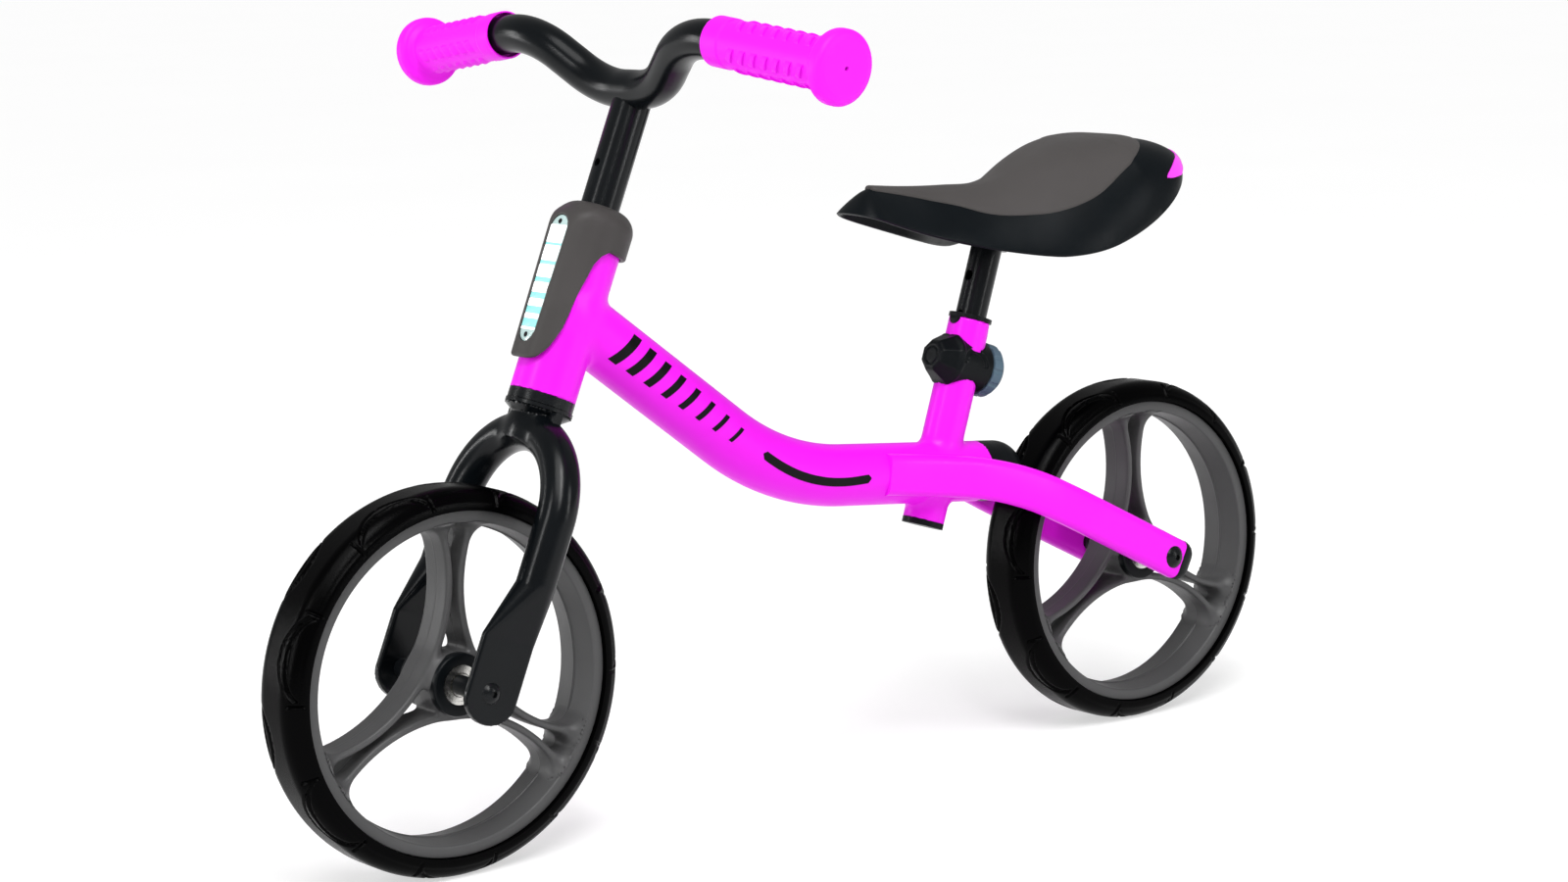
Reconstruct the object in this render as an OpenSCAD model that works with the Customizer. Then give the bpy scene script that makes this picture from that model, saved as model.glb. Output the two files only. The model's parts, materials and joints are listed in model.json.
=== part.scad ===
// Toddler's balance bike: steel frame, fork and bars, moulded wheels with solid tyres,
// height-adjustable saddle and bars, and a light in the head cover.
// Z is up, the bike faces -Y, +X is the rider's left. The origin is on the ground,
// midway between the wheels.

/* [Wheels] */
// Distance between the two axles
wheelbase = 517; // [500:1:530]
// Outer radius of the tyre
tyre_r = 108; // [107:0.5:109]
// Half of the tyre's width
tyre_half = 18.5; // [17:0.5:20]
// Outer radius of the rim's lips
lip_r = 95.6; // [95:0.1:96]
// Half of the rim's width
rim_half = 16.3; // [15.5:0.1:17]
// Radius of the curved ribs
rib_bend = 90; // [84:1:96]
// Thickness of the ribs
rib_t = 4.4; // [3.6:0.2:5.2]
// Half of the ribs' width along the axle
rib_half = 11; // [9:0.5:13]
// How far the front wheel's spokes are turned
front_turn = 86; // [0:1:119]
// How far the rear wheel's spokes are turned
rear_turn = 90; // [0:1:119]

/* [Steering] */
// Lean of the steering axis from the vertical
head_angle = 23.3; // [22:0.1:24.5]
// Distance of the front axle ahead of the steering axis
fork_rake = 7.8; // [6:0.1:10]
// Outer radius of the head tube
head_r = 18.8; // [18.6:0.1:19]
// Half of the distance between the fork legs' centre lines
leg_x = 47; // [45:0.5:50]
// Radius of the fork tube
leg_r = 11; // [10.5:0.1:11.5]
// Outer radius of the steerer
steerer_r = 13.4; // [13.4:0.1:13.5]
// Radius of the stem and of the handlebar tube
bar_r = 11; // [11:0.1:11.1]

/* [Handlebar] */
// Height of the bar's middle along the steering axis
bar_t = 343.5; // [335:0.5:350]
// Forward lean of the bar's plane from the steering axis
bar_tilt = 49.4; // [45:0.1:55]
// Half of the overall width over the grips
bar_half = 197.8; // [190:0.1:205]
// How far the bar's shoulders stand above its middle
bar_rise = 36.4; // [32:0.1:40]
// How far the grips' ends stand above its middle
bar_end_rise = 18.5; // [14:0.1:22]
// Radius of the bar's bends
bar_bend = 56; // [40:1:60]
// Length of a grip
grip_l = 99; // [90:1:104]

/* [Frame] */
// Radius of the main tube
main_r = 18.5; // [18:0.1:18.8]
// Downward slope of the main tube's front part
main_slope = 37.3; // [36:0.1:38.5]
// Downward slope of the main tube's rear part
main_tail_slope = 5.9; // [5:0.1:7]
// Radius of the main tube's bend
main_bend = 170; // [150:5:185]
// Lean of the seat tube from the vertical
seat_angle = 19; // [18:0.1:20]
// Outer radius of the seat tube
seat_tube_r = 12.7; // [12.6:0.1:12.8]
// Radius of the seat post
post_r = 9.5; // [9.4:0.1:9.6]

/* [Saddle] */
// Length of the saddle
saddle_l = 242; // [235:1:248]
// Half of the saddle's width at its broadest
saddle_half = 62; // [58:1:66]
// Half of the nose's width
nose_half = 21; // [18:1:24]
// How far the tail stands above the nose
tail_lift = 22; // [16:1:26]

/* [Hidden] */
$fn = 96;

frame_pink = "#fe2bfc";
coated_black = "#1b1f22";
moulded_grey = "#4a4a4a";
tube_wall = 1.8;
hair = 0.06;
cut = 1;

// Wheel
axle_h = tyre_r;
front_y = -wheelbase / 2;
rear_y = wheelbase / 2;
shoulder_r = 11;
bead_r = 91;
rim_inner_r = 89;
rim_crown_r = 86.8;
lip_t = 3.3;
tyre_gap = 0.3;
hub_r = 17;
hub_half = 17.4;
bearing_r = 11;
bearing_w = 7;
bearing_mid_r = 9;
shield_r = 6.8;
shield_t = 0.6;
race_r = 6.3;
axle_r = 4;
spacer_r = 5.5;
bolt_r = 2.5;
bolt_l = 16;
bolt_head_h = 3.3;
socket_r = 2;
// Centre of a rib's arc: it leaves a slot of twice this half-gap between paired ribs
slot_half = 1.6;
rib_centre = (slot_half + rib_t / 2 + rib_bend) / sin(60);

// Fork
arch_t = 97.5;
leg_y = -1;
leg_low_t = 58;
plate_top_t = 28;
plate_x = [42.1, 46.5];
plate_r = 17.2;
plate_y = -6;
front_span = plate_x[0];

// Headset, all along the steering axis
race_t = [157.4, 159.4];
race_outer_r = 19.3;
head_t = [165.4, 252];
cup_flange = [5.6, 3.4];
cup_depth = 9.6;
cup_r = 16.9;
ball_r = 15.2;
cup_lip_r = 14.5;
cup_lip = 1.2;
ball_w = 11.7;
nut_t = [255.8, 260.8];
collar_t = [261.4, 269.4];
collar_r = 17;
steerer_top = 269.4;
stem_foot = 200;
stem_hole_r = 2.3;
stem_hole_top = 298;
hole_pitch = 25;
bar_ahead = 3;
run_gap = 0.05;

// Head cover
cover_r = 21.5;
cover_top = 275;
cover_front = 22.8;
cover_round = 9;
cover_room_r = 19.5;
cover_mouth_r = 11.6;
lens_top = [255.5, 8];
lens_foot = [197, 6.9];
lens_face = 22.5;
lens_t = 1.2;
board_t = 0.8;
cell_r = 6;
cell_t = 1.1;

// Main tube, in the side view (Y, Z)
main_v = [-23, 190];
main_start = 181;
main_end = 155.4;
main_path = [
    main_v - main_start * [cos(main_slope), -sin(main_slope)],
    main_v,
    main_v + main_end * [cos(main_tail_slope), -sin(main_tail_slope)]
];
dome_skirt = 14.5;

// Seat tube: its frame's origin is where its axis meets the main tube's
seat_o = [99.5, 177.4];
seat_s = [-30, 95];
bush_r = 11.1;
bush_flange = 2.5;
post_s = [2, 154.5];
post_hole_r = 3.3;
post_hole_s = 121;
clamp_s = 68;
clamp_r = 16;
clamp_front = 24;
clamp_rear = 14;
nose_cone = 8;
knob_t = 9.6;
knob_r = 16.5;
stud_r = 3;

// Stays, in the side view (Y, Z) and in the plan (Y, X)
stay_h = 25;
stay_w = 13;
stay_bend = 200;
stay_v = [134, 172.5];
stay_front = 86;
stay_slope = [7.6, 27.2];
stay_back = 148;
stay_in_x = 24;
stay_out_x = 38.5;
stay_out_y = [92, 190];
stay_cap_l = 9;
rear_span = stay_out_x - stay_w / 2;

// Saddle
saddle_y = 36;
saddle_z = 352;
skirt_z = 306;
skirt_u = 0.45;
skirt_nose = 34;
skirt_tail = 40;
nose_u = 0.08;
tail_u = 0.72;
pad_inset = 9;
pad_t = 7;
shell_t = 3.5;
tail_t = 4;
tail_h = 9;
plate_z = 329;
plate_t = 3;
boss_x = 16;
boss_y = [140, 176];
steps = 40;

// A frame whose Z runs up the steering axis, with the front axle at Z = 0
module in_head()
    translate([0, front_y, axle_h])
        rotate([-head_angle, 0, 0])
            translate([0, fork_rake, 0])
                children();

// A frame whose Z runs up the seat tube
module in_seat()
    translate([0, seat_o[0], seat_o[1]])
        rotate([-seat_angle, 0, 0])
            children();

// Turns a drawing of the side view upright: its X becomes Y, its Y becomes Z
module side_view()
    rotate([90, 0, 90])
        children();

// A wheel's own frame: Z along the axle
module at_axle(y)
    translate([0, y, axle_h])
        side_view()
            children();

// A round bar or tube along Z from a to b
module ring(a, b, outer, inner)
    translate([0, 0, a])
        difference() {
            cylinder(r = outer, h = b - a);
            translate([0, 0, -cut]) cylinder(r = inner, h = b - a + 2 * cut);
        }

function heading(a, b) = atan2(b[1] - a[1], b[0] - a[0]);
function turn_at(p, i) = heading(p[i], p[i + 1]) - heading(p[i - 1], p[i]);
function bend_cut(p, i, bend) = (i > 0 && i < len(p) - 1) ? bend * tan(abs(turn_at(p, i)) / 2) : 0;

// A straight piece or the section of a bend: a tube, or a bar when there is no inner radius
module piece(l, outer, inner)
    rotate([0, 90, 0])
        difference() {
            cylinder(r = outer, h = l);
            if (inner > 0) translate([0, 0, -cut]) cylinder(r = inner, h = l + 2 * cut);
        }

// A tube along a flat path, with every corner bent to one radius. The bends are drawn a
// hair fuller than the straights and reach half a millimetre into them, so all is one body.
module tube_path(p, bend, outer, inner = 0, over = 0) {
    last = len(p) - 1;
    for (i = [1 : last]) {
        start = i == 1 ? -over : bend_cut(p, i - 1, bend);
        end = i == last ? -over : bend_cut(p, i, bend);
        translate([p[i - 1][0], p[i - 1][1], 0])
            rotate([0, 0, heading(p[i - 1], p[i])])
                translate([start, 0, 0])
                    piece(norm(p[i] - p[i - 1]) - start - end, outer, inner);
    }
    for (i = [1 : last - 1]) {
        turn = turn_at(p, i);
        way = sign(turn);
        more = 0.5 / bend * 180 / PI;
        translate([p[i][0], p[i][1], 0])
            rotate([0, 0, heading(p[i - 1], p[i])])
                translate([-bend_cut(p, i, bend), way * bend, 0])
                    rotate([0, 0, (way > 0 ? -90 : 90 + turn) - more])
                        rotate_extrude(angle = abs(turn) + 2 * more)
                            translate([bend, 0])
                                difference() {
                                    circle(r = outer + hair);
                                    if (inner > 0) circle(r = inner - hair);
                                }
    }
}

// Wheels --------------------------------------------------------------

module rim_section()
    polygon([
        [rim_inner_r, -rim_half], [lip_r, -rim_half],
        [lip_r, -rim_half + lip_t], [bead_r, -rim_half + lip_t],
        [bead_r, rim_half - lip_t], [lip_r, rim_half - lip_t], [lip_r, rim_half], [rim_inner_r, rim_half],
        [rim_crown_r, 0]
    ]);

module rib()
    linear_extrude(2 * rib_half, center = true)
        intersection() {
            circle(r = rim_inner_r + 0.6);
            translate([rib_centre, 0])
                difference() {
                    circle(r = rib_bend + rib_t / 2);
                    circle(r = rib_bend - rib_t / 2);
                }
        }

module rim(y)
    color(moulded_grey)
        at_axle(y)
            rotate_extrude() rim_section();

// What lies inside the rim's barrel, over the spokes' width
module barrel_room() {
    taper = (rim_inner_r - rim_crown_r) / rim_half;
    rotate_extrude()
        polygon([
            [0, -hub_half - cut], [rim_crown_r + taper * (hub_half + cut), -hub_half - cut],
            [rim_crown_r, 0],
            [rim_crown_r + taper * (hub_half + cut), hub_half + cut], [0, hub_half + cut]
        ]);
}

module spokes(y, turn)
    color(moulded_grey)
        at_axle(y)
            rotate([0, 0, turn])
                difference() {
                    union() {
                        intersection() {
                            for (i = [0 : 2]) rotate([0, 0, 60 + 120 * i]) rib();
                            barrel_room();
                        }
                        cylinder(r = hub_r, h = 2 * hub_half, center = true);
                    }
                    cylinder(r = bearing_mid_r, h = 2 * hub_half + 2 * cut, center = true);
                    for (s = [-1, 1])
                        translate([0, 0, s * (hub_half - bearing_w / 2 + cut / 2)])
                            cylinder(r = bearing_r, h = bearing_w + cut, center = true);
                }

module tyre_section() {
    flat = tyre_half - shoulder_r;
    for (s = [-1, 1]) translate([tyre_r - shoulder_r, s * flat]) circle(r = shoulder_r);
    translate([lip_r + tyre_gap, -tyre_half])
        square([tyre_r - shoulder_r - lip_r - tyre_gap, 2 * tyre_half]);
    translate([tyre_r - 2 * shoulder_r + 6, -flat]) square([2 * shoulder_r - 6, 2 * flat]);
    seat = rim_half - lip_t - tyre_gap;
    translate([bead_r, -seat]) square([lip_r + tyre_gap - bead_r + 0.5, 2 * seat]);
}

module tyre(y)
    color("#0a0a0b")
        at_axle(y)
            rotate_extrude()
                difference() {
                    tyre_section();
                    // What the shoulder circles would leave below the rim's lips
                    for (s = [0, 1])
                        mirror([0, s])
                            translate([bead_r - 9, rim_half - lip_t - tyre_gap])
                                square([lip_r + tyre_gap - bead_r + 9, 2 * rim_half]);
                    translate([bead_r - 12, -2 * rim_half]) square([12, 4 * rim_half]);
                }

module bearing_outers(y)
    color("silver")
        at_axle(y)
            for (s = [-1, 1])
                translate([0, 0, s * (hub_half - bearing_w / 2)])
                    rotate_extrude()
                        union() {
                            translate([bearing_mid_r, -bearing_w / 2])
                                square([bearing_r - bearing_mid_r, bearing_w]);
                            for (e = [-1, 1])
                                translate([shield_r, e * (bearing_w / 2 - 0.7) - shield_t / 2])
                                    square([bearing_r - shield_r - 0.5, shield_t]);
                        }

module bearing_inners(y)
    color("gainsboro")
        at_axle(y)
            for (s = [-1, 1])
                translate([0, 0, s * (hub_half - bearing_w / 2)])
                    ring(-bearing_w / 2, bearing_w / 2, race_r, axle_r);

module axle(y, span)
    color("dimgray")
        at_axle(y)
            difference() {
                cylinder(r = axle_r, h = 2 * span, center = true);
                for (s = [-1, 1])
                    translate([0, 0, s * span])
                        cylinder(r = bolt_r, h = 2 * (bolt_l - 2), center = true);
            }

module spacers(y, span)
    color("#222222")
        at_axle(y) {
            ring(hub_half, span, spacer_r, axle_r);
            ring(-span, -hub_half, spacer_r, axle_r);
            ring(-hub_half + bearing_w, hub_half - bearing_w, spacer_r, axle_r);
        }

// A button-head screw along Z with its head's flat side at Z = 0
module button_screw(r, l, head_r, head_h) {
    dome = (head_r * head_r + head_h * head_h) / (2 * head_h);
    difference() {
        union() {
            translate([0, 0, -l]) cylinder(r = r, h = l + 0.5);
            intersection() {
                cylinder(r = head_r, h = head_h);
                translate([0, 0, head_h - dome]) sphere(r = dome);
            }
        }
        translate([0, 0, head_h - 1.8]) cylinder(r = socket_r, h = 3, $fn = 6);
    }
}

module axle_bolts(y, span, outer, head_r)
    color("#15171a")
        at_axle(y)
            for (s = [0, 1])
                mirror([0, 0, s])
                    translate([0, 0, outer])
                        button_screw(bolt_r, outer - span + bolt_l - 6, head_r, bolt_head_h);

// Fork and steering ---------------------------------------------------

module arch(r, over = 0)
    translate([0, leg_y, arch_t]) {
        rotate([90, 0, 0])
            rotate_extrude(angle = 180)
                translate([leg_x, 0]) circle(r = r);
        for (s = [-1, 1])
            translate([s * leg_x, 0, leg_low_t - arch_t - over])
                cylinder(r = r, h = arch_t - leg_low_t + over);
    }

// A leg's flattened end, seen from the front
module leg_front()
    polygon([
        [plate_x[0], -30], [plate_x[1], -30], [plate_x[1], plate_top_t],
        [leg_x + leg_r, leg_low_t + 0.5], [leg_x - leg_r, leg_low_t + 0.5], [plate_x[0], plate_top_t]
    ]);

// A leg's flattened end, seen from the side
module leg_side() {
    translate([plate_y, 0]) circle(r = plate_r);
    polygon([
        [plate_y - plate_r, 0], [plate_y + plate_r, 0], [plate_y + plate_r, plate_top_t],
        [leg_y + leg_r, leg_low_t + 0.5], [leg_y - leg_r, leg_low_t + 0.5],
        [plate_y - plate_r + 5, plate_top_t]
    ]);
}

module leg_end()
    intersection() {
        translate([0, 40, 0]) rotate([90, 0, 0]) linear_extrude(80) leg_front();
        side_view() linear_extrude(80) leg_side();
    }

module fork_blades()
    color(coated_black)
        in_head()
            difference() {
                union() {
                    difference() {
                        arch(leg_r);
                        arch(leg_r - tube_wall, cut);
                    }
                    leg_end();
                    mirror([1, 0, 0]) leg_end();
                }
                translate([0, -fork_rake, 0])
                    rotate([0, 90, 0])
                        cylinder(r = bolt_r + 0.2, h = 200, center = true);
            }

module steerer()
    color(coated_black)
        in_head()
            difference() {
                ring(arch_t + leg_x, steerer_top, steerer_r, bar_r + run_gap);
                arch(leg_r);
                translate([0, 0, (collar_t[0] + collar_t[1]) / 2])
                    rotate([-90, 0, 0])
                        cylinder(r = 2.5, h = 30);
            }

// Webs between the steerer's foot and the shoulders of the fork
module crown_gussets()
    color(coated_black)
        in_head()
            difference() {
                for (s = [-1, 1])
                    translate([s * 15, leg_y, (race_t[0] + arch_t + leg_x) / 2])
                        cube([15, 5, race_t[0] - arch_t - leg_x - 1], center = true);
                arch(leg_r);
                cylinder(r = steerer_r, h = steerer_top);
            }

module crown_race()
    color(coated_black)
        in_head()
            ring(race_t[0], race_t[1], race_outer_r, steerer_r);

// A headset cup drawn with its flange at the bottom, at Z = 0
module cup(flange)
    rotate_extrude()
        polygon([
            [cup_lip_r, 0], [head_r, 0], [head_r, flange], [cup_r, flange], [cup_r, flange + cup_depth],
            [ball_r, flange + cup_depth], [ball_r, cup_lip], [cup_lip_r, cup_lip]
        ]);

module lower_cup()
    color(coated_black)
        in_head()
            translate([0, 0, head_t[0] - cup_flange[0]])
                cup(cup_flange[0]);

module upper_cup()
    color(coated_black)
        in_head()
            translate([0, 0, head_t[1] + cup_flange[1]])
                mirror([0, 0, 1])
                    cup(cup_flange[1]);

module lower_bearing()
    color("silver")
        in_head()
            translate([0, 0, head_t[0] - cup_flange[0] + cup_lip])
                ring(0, ball_w, ball_r, steerer_r + run_gap);

module upper_bearing()
    color("silver")
        in_head()
            translate([0, 0, head_t[1] + cup_flange[1] - cup_lip - ball_w])
                ring(0, ball_w, ball_r, steerer_r + run_gap);

module head_locknut()
    color("dimgray")
        in_head()
            difference() {
                translate([0, 0, nut_t[0]]) cylinder(r = 17.5, h = nut_t[1] - nut_t[0], $fn = 6);
                cylinder(r = steerer_r, h = steerer_top);
            }

module stem_collar()
    color("dimgray")
        in_head()
            difference() {
                ring(collar_t[0], collar_t[1], collar_r, steerer_r);
                translate([0, 0, (collar_t[0] + collar_t[1]) / 2])
                    rotate([-90, 0, 0])
                        cylinder(r = 2.5, h = 30);
            }

// Presses on the stem tube, through the collar and the steerer's wall
module stem_screw()
    color("silver")
        in_head()
            translate([0, bar_r + 0.35, (collar_t[0] + collar_t[1]) / 2])
                rotate([-90, 0, 0])
                    difference() {
                        cylinder(r = 2.5, h = 5.8);
                        translate([0, 0, 3.4]) cylinder(r = 1.25, h = 4, $fn = 6);
                    }

module stem_tube()
    color(coated_black)
        in_head()
            difference() {
                ring(stem_foot, bar_t + 6, bar_r, bar_r - tube_wall);
                bar_solid();
                for (t = [stem_hole_top : -hole_pitch : stem_foot + 10])
                    translate([0, 0, t])
                        rotate([90, 0, 0])
                            cylinder(r = stem_hole_r, h = 20);
            }

bar_flat_x = 25.7;
bar_shoulder_x = 72.4;
grip_floor = 6;
bar_fall = (bar_rise - bar_end_rise) / (bar_half - bar_shoulder_x);
bar_right = [
    [bar_flat_x, 0],
    [bar_shoulder_x, bar_rise],
    [bar_half - grip_floor, bar_end_rise + bar_fall * grip_floor]
];
bar_path = concat([for (i = [2 : -1 : 0]) [-bar_right[i][0], bar_right[i][1]]], bar_right);

// The bar's own plane: X across the bike, Y up and forward
module bar_plane()
    translate([0, -bar_ahead, bar_t])
        rotate([bar_tilt + 90, 0, 0])
            children();

module bar_solid()
    bar_plane()
        tube_path(bar_path, bar_bend, bar_r);

module handlebar()
    color(coated_black)
        in_head()
            bar_plane()
                tube_path(bar_path, bar_bend, bar_r, bar_r - tube_wall);

module grip_section() {
    polygon([
        [bar_r, -grip_l + 1.5], [bar_r + 1.3, -grip_l], [bar_r + 2.4, -grip_l + 1.2], [bar_r + 2.4, -12],
        [bar_r + 6, -9.5], [bar_r + 8.6, -7.5], [bar_r + 9.2, -4.5], [bar_r + 8, -1.6],
        [bar_r + 3, -0.2], [1.2, 0],
        [1.2, -grip_floor + 0.2], [bar_r, -grip_floor + 0.2]
    ]);
}

module grip(way)
    color(frame_pink)
        in_head()
            mirror([way < 0 ? 1 : 0, 0, 0])
                bar_plane()
                    translate([bar_half, bar_end_rise, 0])
                        rotate([0, 0, heading(bar_right[1], bar_right[2])])
                            rotate([0, 90, 0])
                                rotate_extrude() grip_section();

// Frame ---------------------------------------------------------------

module head_tube()
    color(frame_pink)
        in_head()
            ring(head_t[0], head_t[1], head_r, cup_r);

module main_tube()
    color(frame_pink)
        difference() {
            side_view() tube_path(main_path, main_bend, main_r, main_r - tube_wall);
            in_head() cylinder(r = head_r, h = head_t[1] + 40);
            in_seat() translate([0, 0, -80]) cylinder(r = seat_tube_r, h = 160);
        }

module main_tube_cap()
    color(coated_black)
        side_view()
            translate([main_path[2][0], main_path[2][1], 0])
                rotate([0, 0, -main_tail_slope])
                    rotate([0, 90, 0])
                        union() {
                            translate([0, 0, -8]) cylinder(r = main_r - tube_wall, h = 9);
                            cylinder(r = main_r, h = dome_skirt);
                            intersection() {
                                translate([0, 0, dome_skirt]) sphere(r = main_r);
                                translate([0, 0, dome_skirt / 2]) cylinder(r = 2 * main_r, h = 2 * main_r);
                            }
                        }

module seat_tube()
    color(frame_pink)
        in_seat()
            difference() {
                ring(seat_s[0], seat_s[1], seat_tube_r, bush_r);
                translate([0, 0, clamp_s])
                    rotate([-90, 0, 0])
                        cylinder(r = stud_r + 0.4, h = 30);
            }

module seat_tube_cap()
    color(coated_black)
        in_seat()
            union() {
                translate([0, 0, seat_s[0] - 3.5]) cylinder(r = seat_tube_r, h = 3.5);
                translate([0, 0, seat_s[0] - 0.5]) cylinder(r = bush_r, h = 5);
            }

module post_bush()
    color(coated_black)
        in_seat()
            difference() {
                union() {
                    translate([0, 0, 45]) cylinder(r = bush_r, h = seat_s[1] - 45);
                    translate([0, 0, seat_s[1]]) cylinder(r = seat_tube_r + 0.6, h = bush_flange);
                }
                cylinder(r = post_r + run_gap, h = 200);
                translate([0, 0, clamp_s])
                    rotate([-90, 0, 0])
                        cylinder(r = stud_r + 0.4, h = 30);
            }

// A stay's centre line in the side view
function stay_dir(a) = [cos(a), -sin(a)];
stay_path = [
    stay_v - stay_front * stay_dir(stay_slope[0]),
    stay_v,
    stay_v + stay_back * stay_dir(stay_slope[1])
];

// A flat band of one width along a bent path
module band(p, bend, w) {
    for (i = [1 : 2]) {
        trim = bend_cut(p, 1, bend);
        translate(p[i - 1])
            rotate(heading(p[i - 1], p[i]))
                translate([i == 1 ? 0 : trim, -w / 2])
                    square([norm(p[i] - p[i - 1]) - trim, w]);
    }
    turn = turn_at(p, 1);
    centre = p[1] + bend / cos(turn / 2) * [cos(heading(p[0], p[1]) - 90 + turn / 2),
                                            sin(heading(p[0], p[1]) - 90 + turn / 2)];
    translate(centre)
        rotate(heading(p[0], p[1]) + 90 + turn)
            intersection() {
                difference() {
                    circle(r = bend + w / 2, $fn = 360);
                    circle(r = bend - w / 2, $fn = 360);
                }
                polygon([[0, 0], 2 * bend * [1, 0], 2 * bend * [cos(-turn), sin(-turn)]]);
            }
}

// A stay in the plan: close to the main tube in front, outside the wheel behind
function ease(u) = let (v = min(max(u, 0), 1)) v * v * (3 - 2 * v);
function stay_x(y) = stay_in_x
    + (stay_out_x - stay_in_x) * ease((y - stay_out_y[0]) / (stay_out_y[1] - stay_out_y[0]));
stay_ys = [for (i = [0 : 16]) 20 + i * 18];

module stay_plan()
    polygon(concat(
        [for (y = stay_ys) [stay_x(y) - stay_w / 2, y]],
        [for (i = [16 : -1 : 0]) [stay_x(stay_ys[i]) + stay_w / 2, stay_ys[i]]]
    ));

module stay()
    color(frame_pink)
        difference() {
            intersection() {
                side_view() linear_extrude(80) band(stay_path, stay_bend, stay_h);
                linear_extrude(260) stay_plan();
            }
            side_view() tube_path(main_path, main_bend, main_r, 0, 30);
            at_axle(rear_y) cylinder(r = bolt_r + 0.2, h = 80);
        }

module stay_cap()
    color(coated_black)
        side_view()
            translate([stay_path[2][0], stay_path[2][1], stay_out_x])
                rotate([0, 0, -stay_slope[1]])
                    intersection() {
                        translate([0, -stay_h / 2, -stay_w / 2]) cube([stay_cap_l, stay_h, stay_w]);
                        translate([-stay_h / 2 + stay_cap_l, 0, 0])
                            cylinder(r = stay_h / 2, h = 40, center = true);
                    }

// Light ---------------------------------------------------------------

// The lens seen from the front, grown by a margin all round
module lens_shape(grow) {
    foot = lens_foot[1] + grow;
    top = lens_top[1] + grow;
    translate([0, lens_top[0]]) circle(r = top);
    translate([0, lens_foot[0]]) circle(r = foot);
    polygon([[-foot, lens_foot[0]], [foot, lens_foot[0]], [top, lens_top[0]], [-top, lens_top[0]]]);
}

// The cover's lower edge in the side view, sweeping down to a tongue at the front
cover_edge = [
    [40, 249.5], [0.4, 250.1], [-3.9, 246.4], [-6.7, 241], [-10.2, 222.7], [-12.4, 202], [-15.6, 190],
    [-19.2, 182.6], [-22, 180.6], [-40, 180]
];

module cover_body() {
    rotate_extrude() {
        translate([0, 170]) square([cover_r, cover_top - cover_round - 170]);
        translate([0, 170]) square([cover_r - cover_round, cover_top - 170]);
        translate([cover_r - cover_round, cover_top - cover_round]) circle(r = cover_round);
    }
    translate([0, 0, 170])
        linear_extrude(94)
            polygon([
                [-9.5, -cover_front], [9.5, -cover_front], [14.5, -20],
                [18, -11], [-18, -11], [-14.5, -20]
            ]);
}

module head_cover()
    color(moulded_grey)
        in_head()
            difference() {
                cover_body();
                cylinder(r = head_r, h = head_t[1]);
                cylinder(r = cover_room_r, h = cover_top - 7.5);
                cylinder(r = collar_r + 0.6, h = cover_top - 4);
                cylinder(r = cover_mouth_r, h = cover_top + cut);
                side_view()
                    linear_extrude(80, center = true)
                        polygon(concat(cover_edge, [[-40, 100], [40, 100]]));
                translate([0, -18, 0]) rotate([90, 0, 0]) linear_extrude(12) lens_shape(0);
            }

module light_lens()
    color("#b8f2f2", 0.8)
        in_head()
            translate([0, -lens_face + lens_t, 0])
                rotate([90, 0, 0])
                    difference() {
                        linear_extrude(lens_t) lens_shape(-0.1);
                        for (t = [lens_foot[0] - 3, lens_top[0] + 4])
                            translate([0, t, -cut]) cylinder(r = 1, h = 4, $fn = 24);
                    }

module light_board()
    color("#1d5c3a")
        in_head()
            translate([0, -lens_face + lens_t + board_t + 0.3, 0])
                rotate([90, 0, 0])
                    union() {
                        linear_extrude(board_t) lens_shape(-1);
                        for (i = [0 : 6])
                            translate([-2.5, 200 + 8.6 * i, 0]) cube([5, 3, board_t + 0.25]);
                    }

module light_cells()
    color("silver")
        in_head()
            for (t = [210, 240])
                translate([0, -head_r - 0.2, t])
                    rotate([90, 0, 0])
                        cylinder(r = cell_r, h = cell_t);

module lens_screws()
    color("dimgray")
        in_head()
            for (t = [lens_foot[0] - 3, lens_top[0] + 4])
                translate([0, -lens_face, t])
                    rotate([90, 0, 0])
                        union() {
                            translate([0, 0, -lens_t]) cylinder(r = 0.95, h = lens_t, $fn = 24);
                            cylinder(r = 1.5, h = 0.5, $fn = 24);
                        }

// Seat post, clamp and saddle ----------------------------------------

module seat_post()
    color(coated_black)
        difference() {
            in_seat()
                difference() {
                    ring(post_s[0], post_s[1] + 12, post_r, post_r - tube_wall);
                    for (k = [0 : 3])
                        translate([0, 0, post_hole_s - k * hole_pitch])
                            rotate([90, 0, 0])
                                cylinder(r = post_hole_r, h = 20);
                }
            translate([-50, 50, plate_z - plate_t]) cube([100, 200, 60]);
        }

module post_plug()
    color("#222222")
        in_seat()
            translate([0, 0, post_s[0]])
                union() {
                    cylinder(r = post_r - tube_wall, h = 6);
                    translate([0, 0, -1.5]) cylinder(r = post_r - 0.5, h = 1.5);
                }

// A barrel across the seat tube, with a blunt nose in front
module clamp_body()
    color(coated_black)
        in_seat()
            difference() {
                translate([0, -clamp_front, clamp_s])
                    rotate([-90, 0, 0])
                        union() {
                            cylinder(r1 = clamp_r - 6, r2 = clamp_r, h = nose_cone);
                            translate([0, 0, nose_cone])
                                cylinder(r = clamp_r, h = clamp_front + clamp_rear - nose_cone);
                        }
                cylinder(r = seat_tube_r, h = 120);
                translate([0, 0, clamp_s])
                    rotate([-90, 0, 0])
                        cylinder(r = stud_r + 0.4, h = 30);
            }

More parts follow.
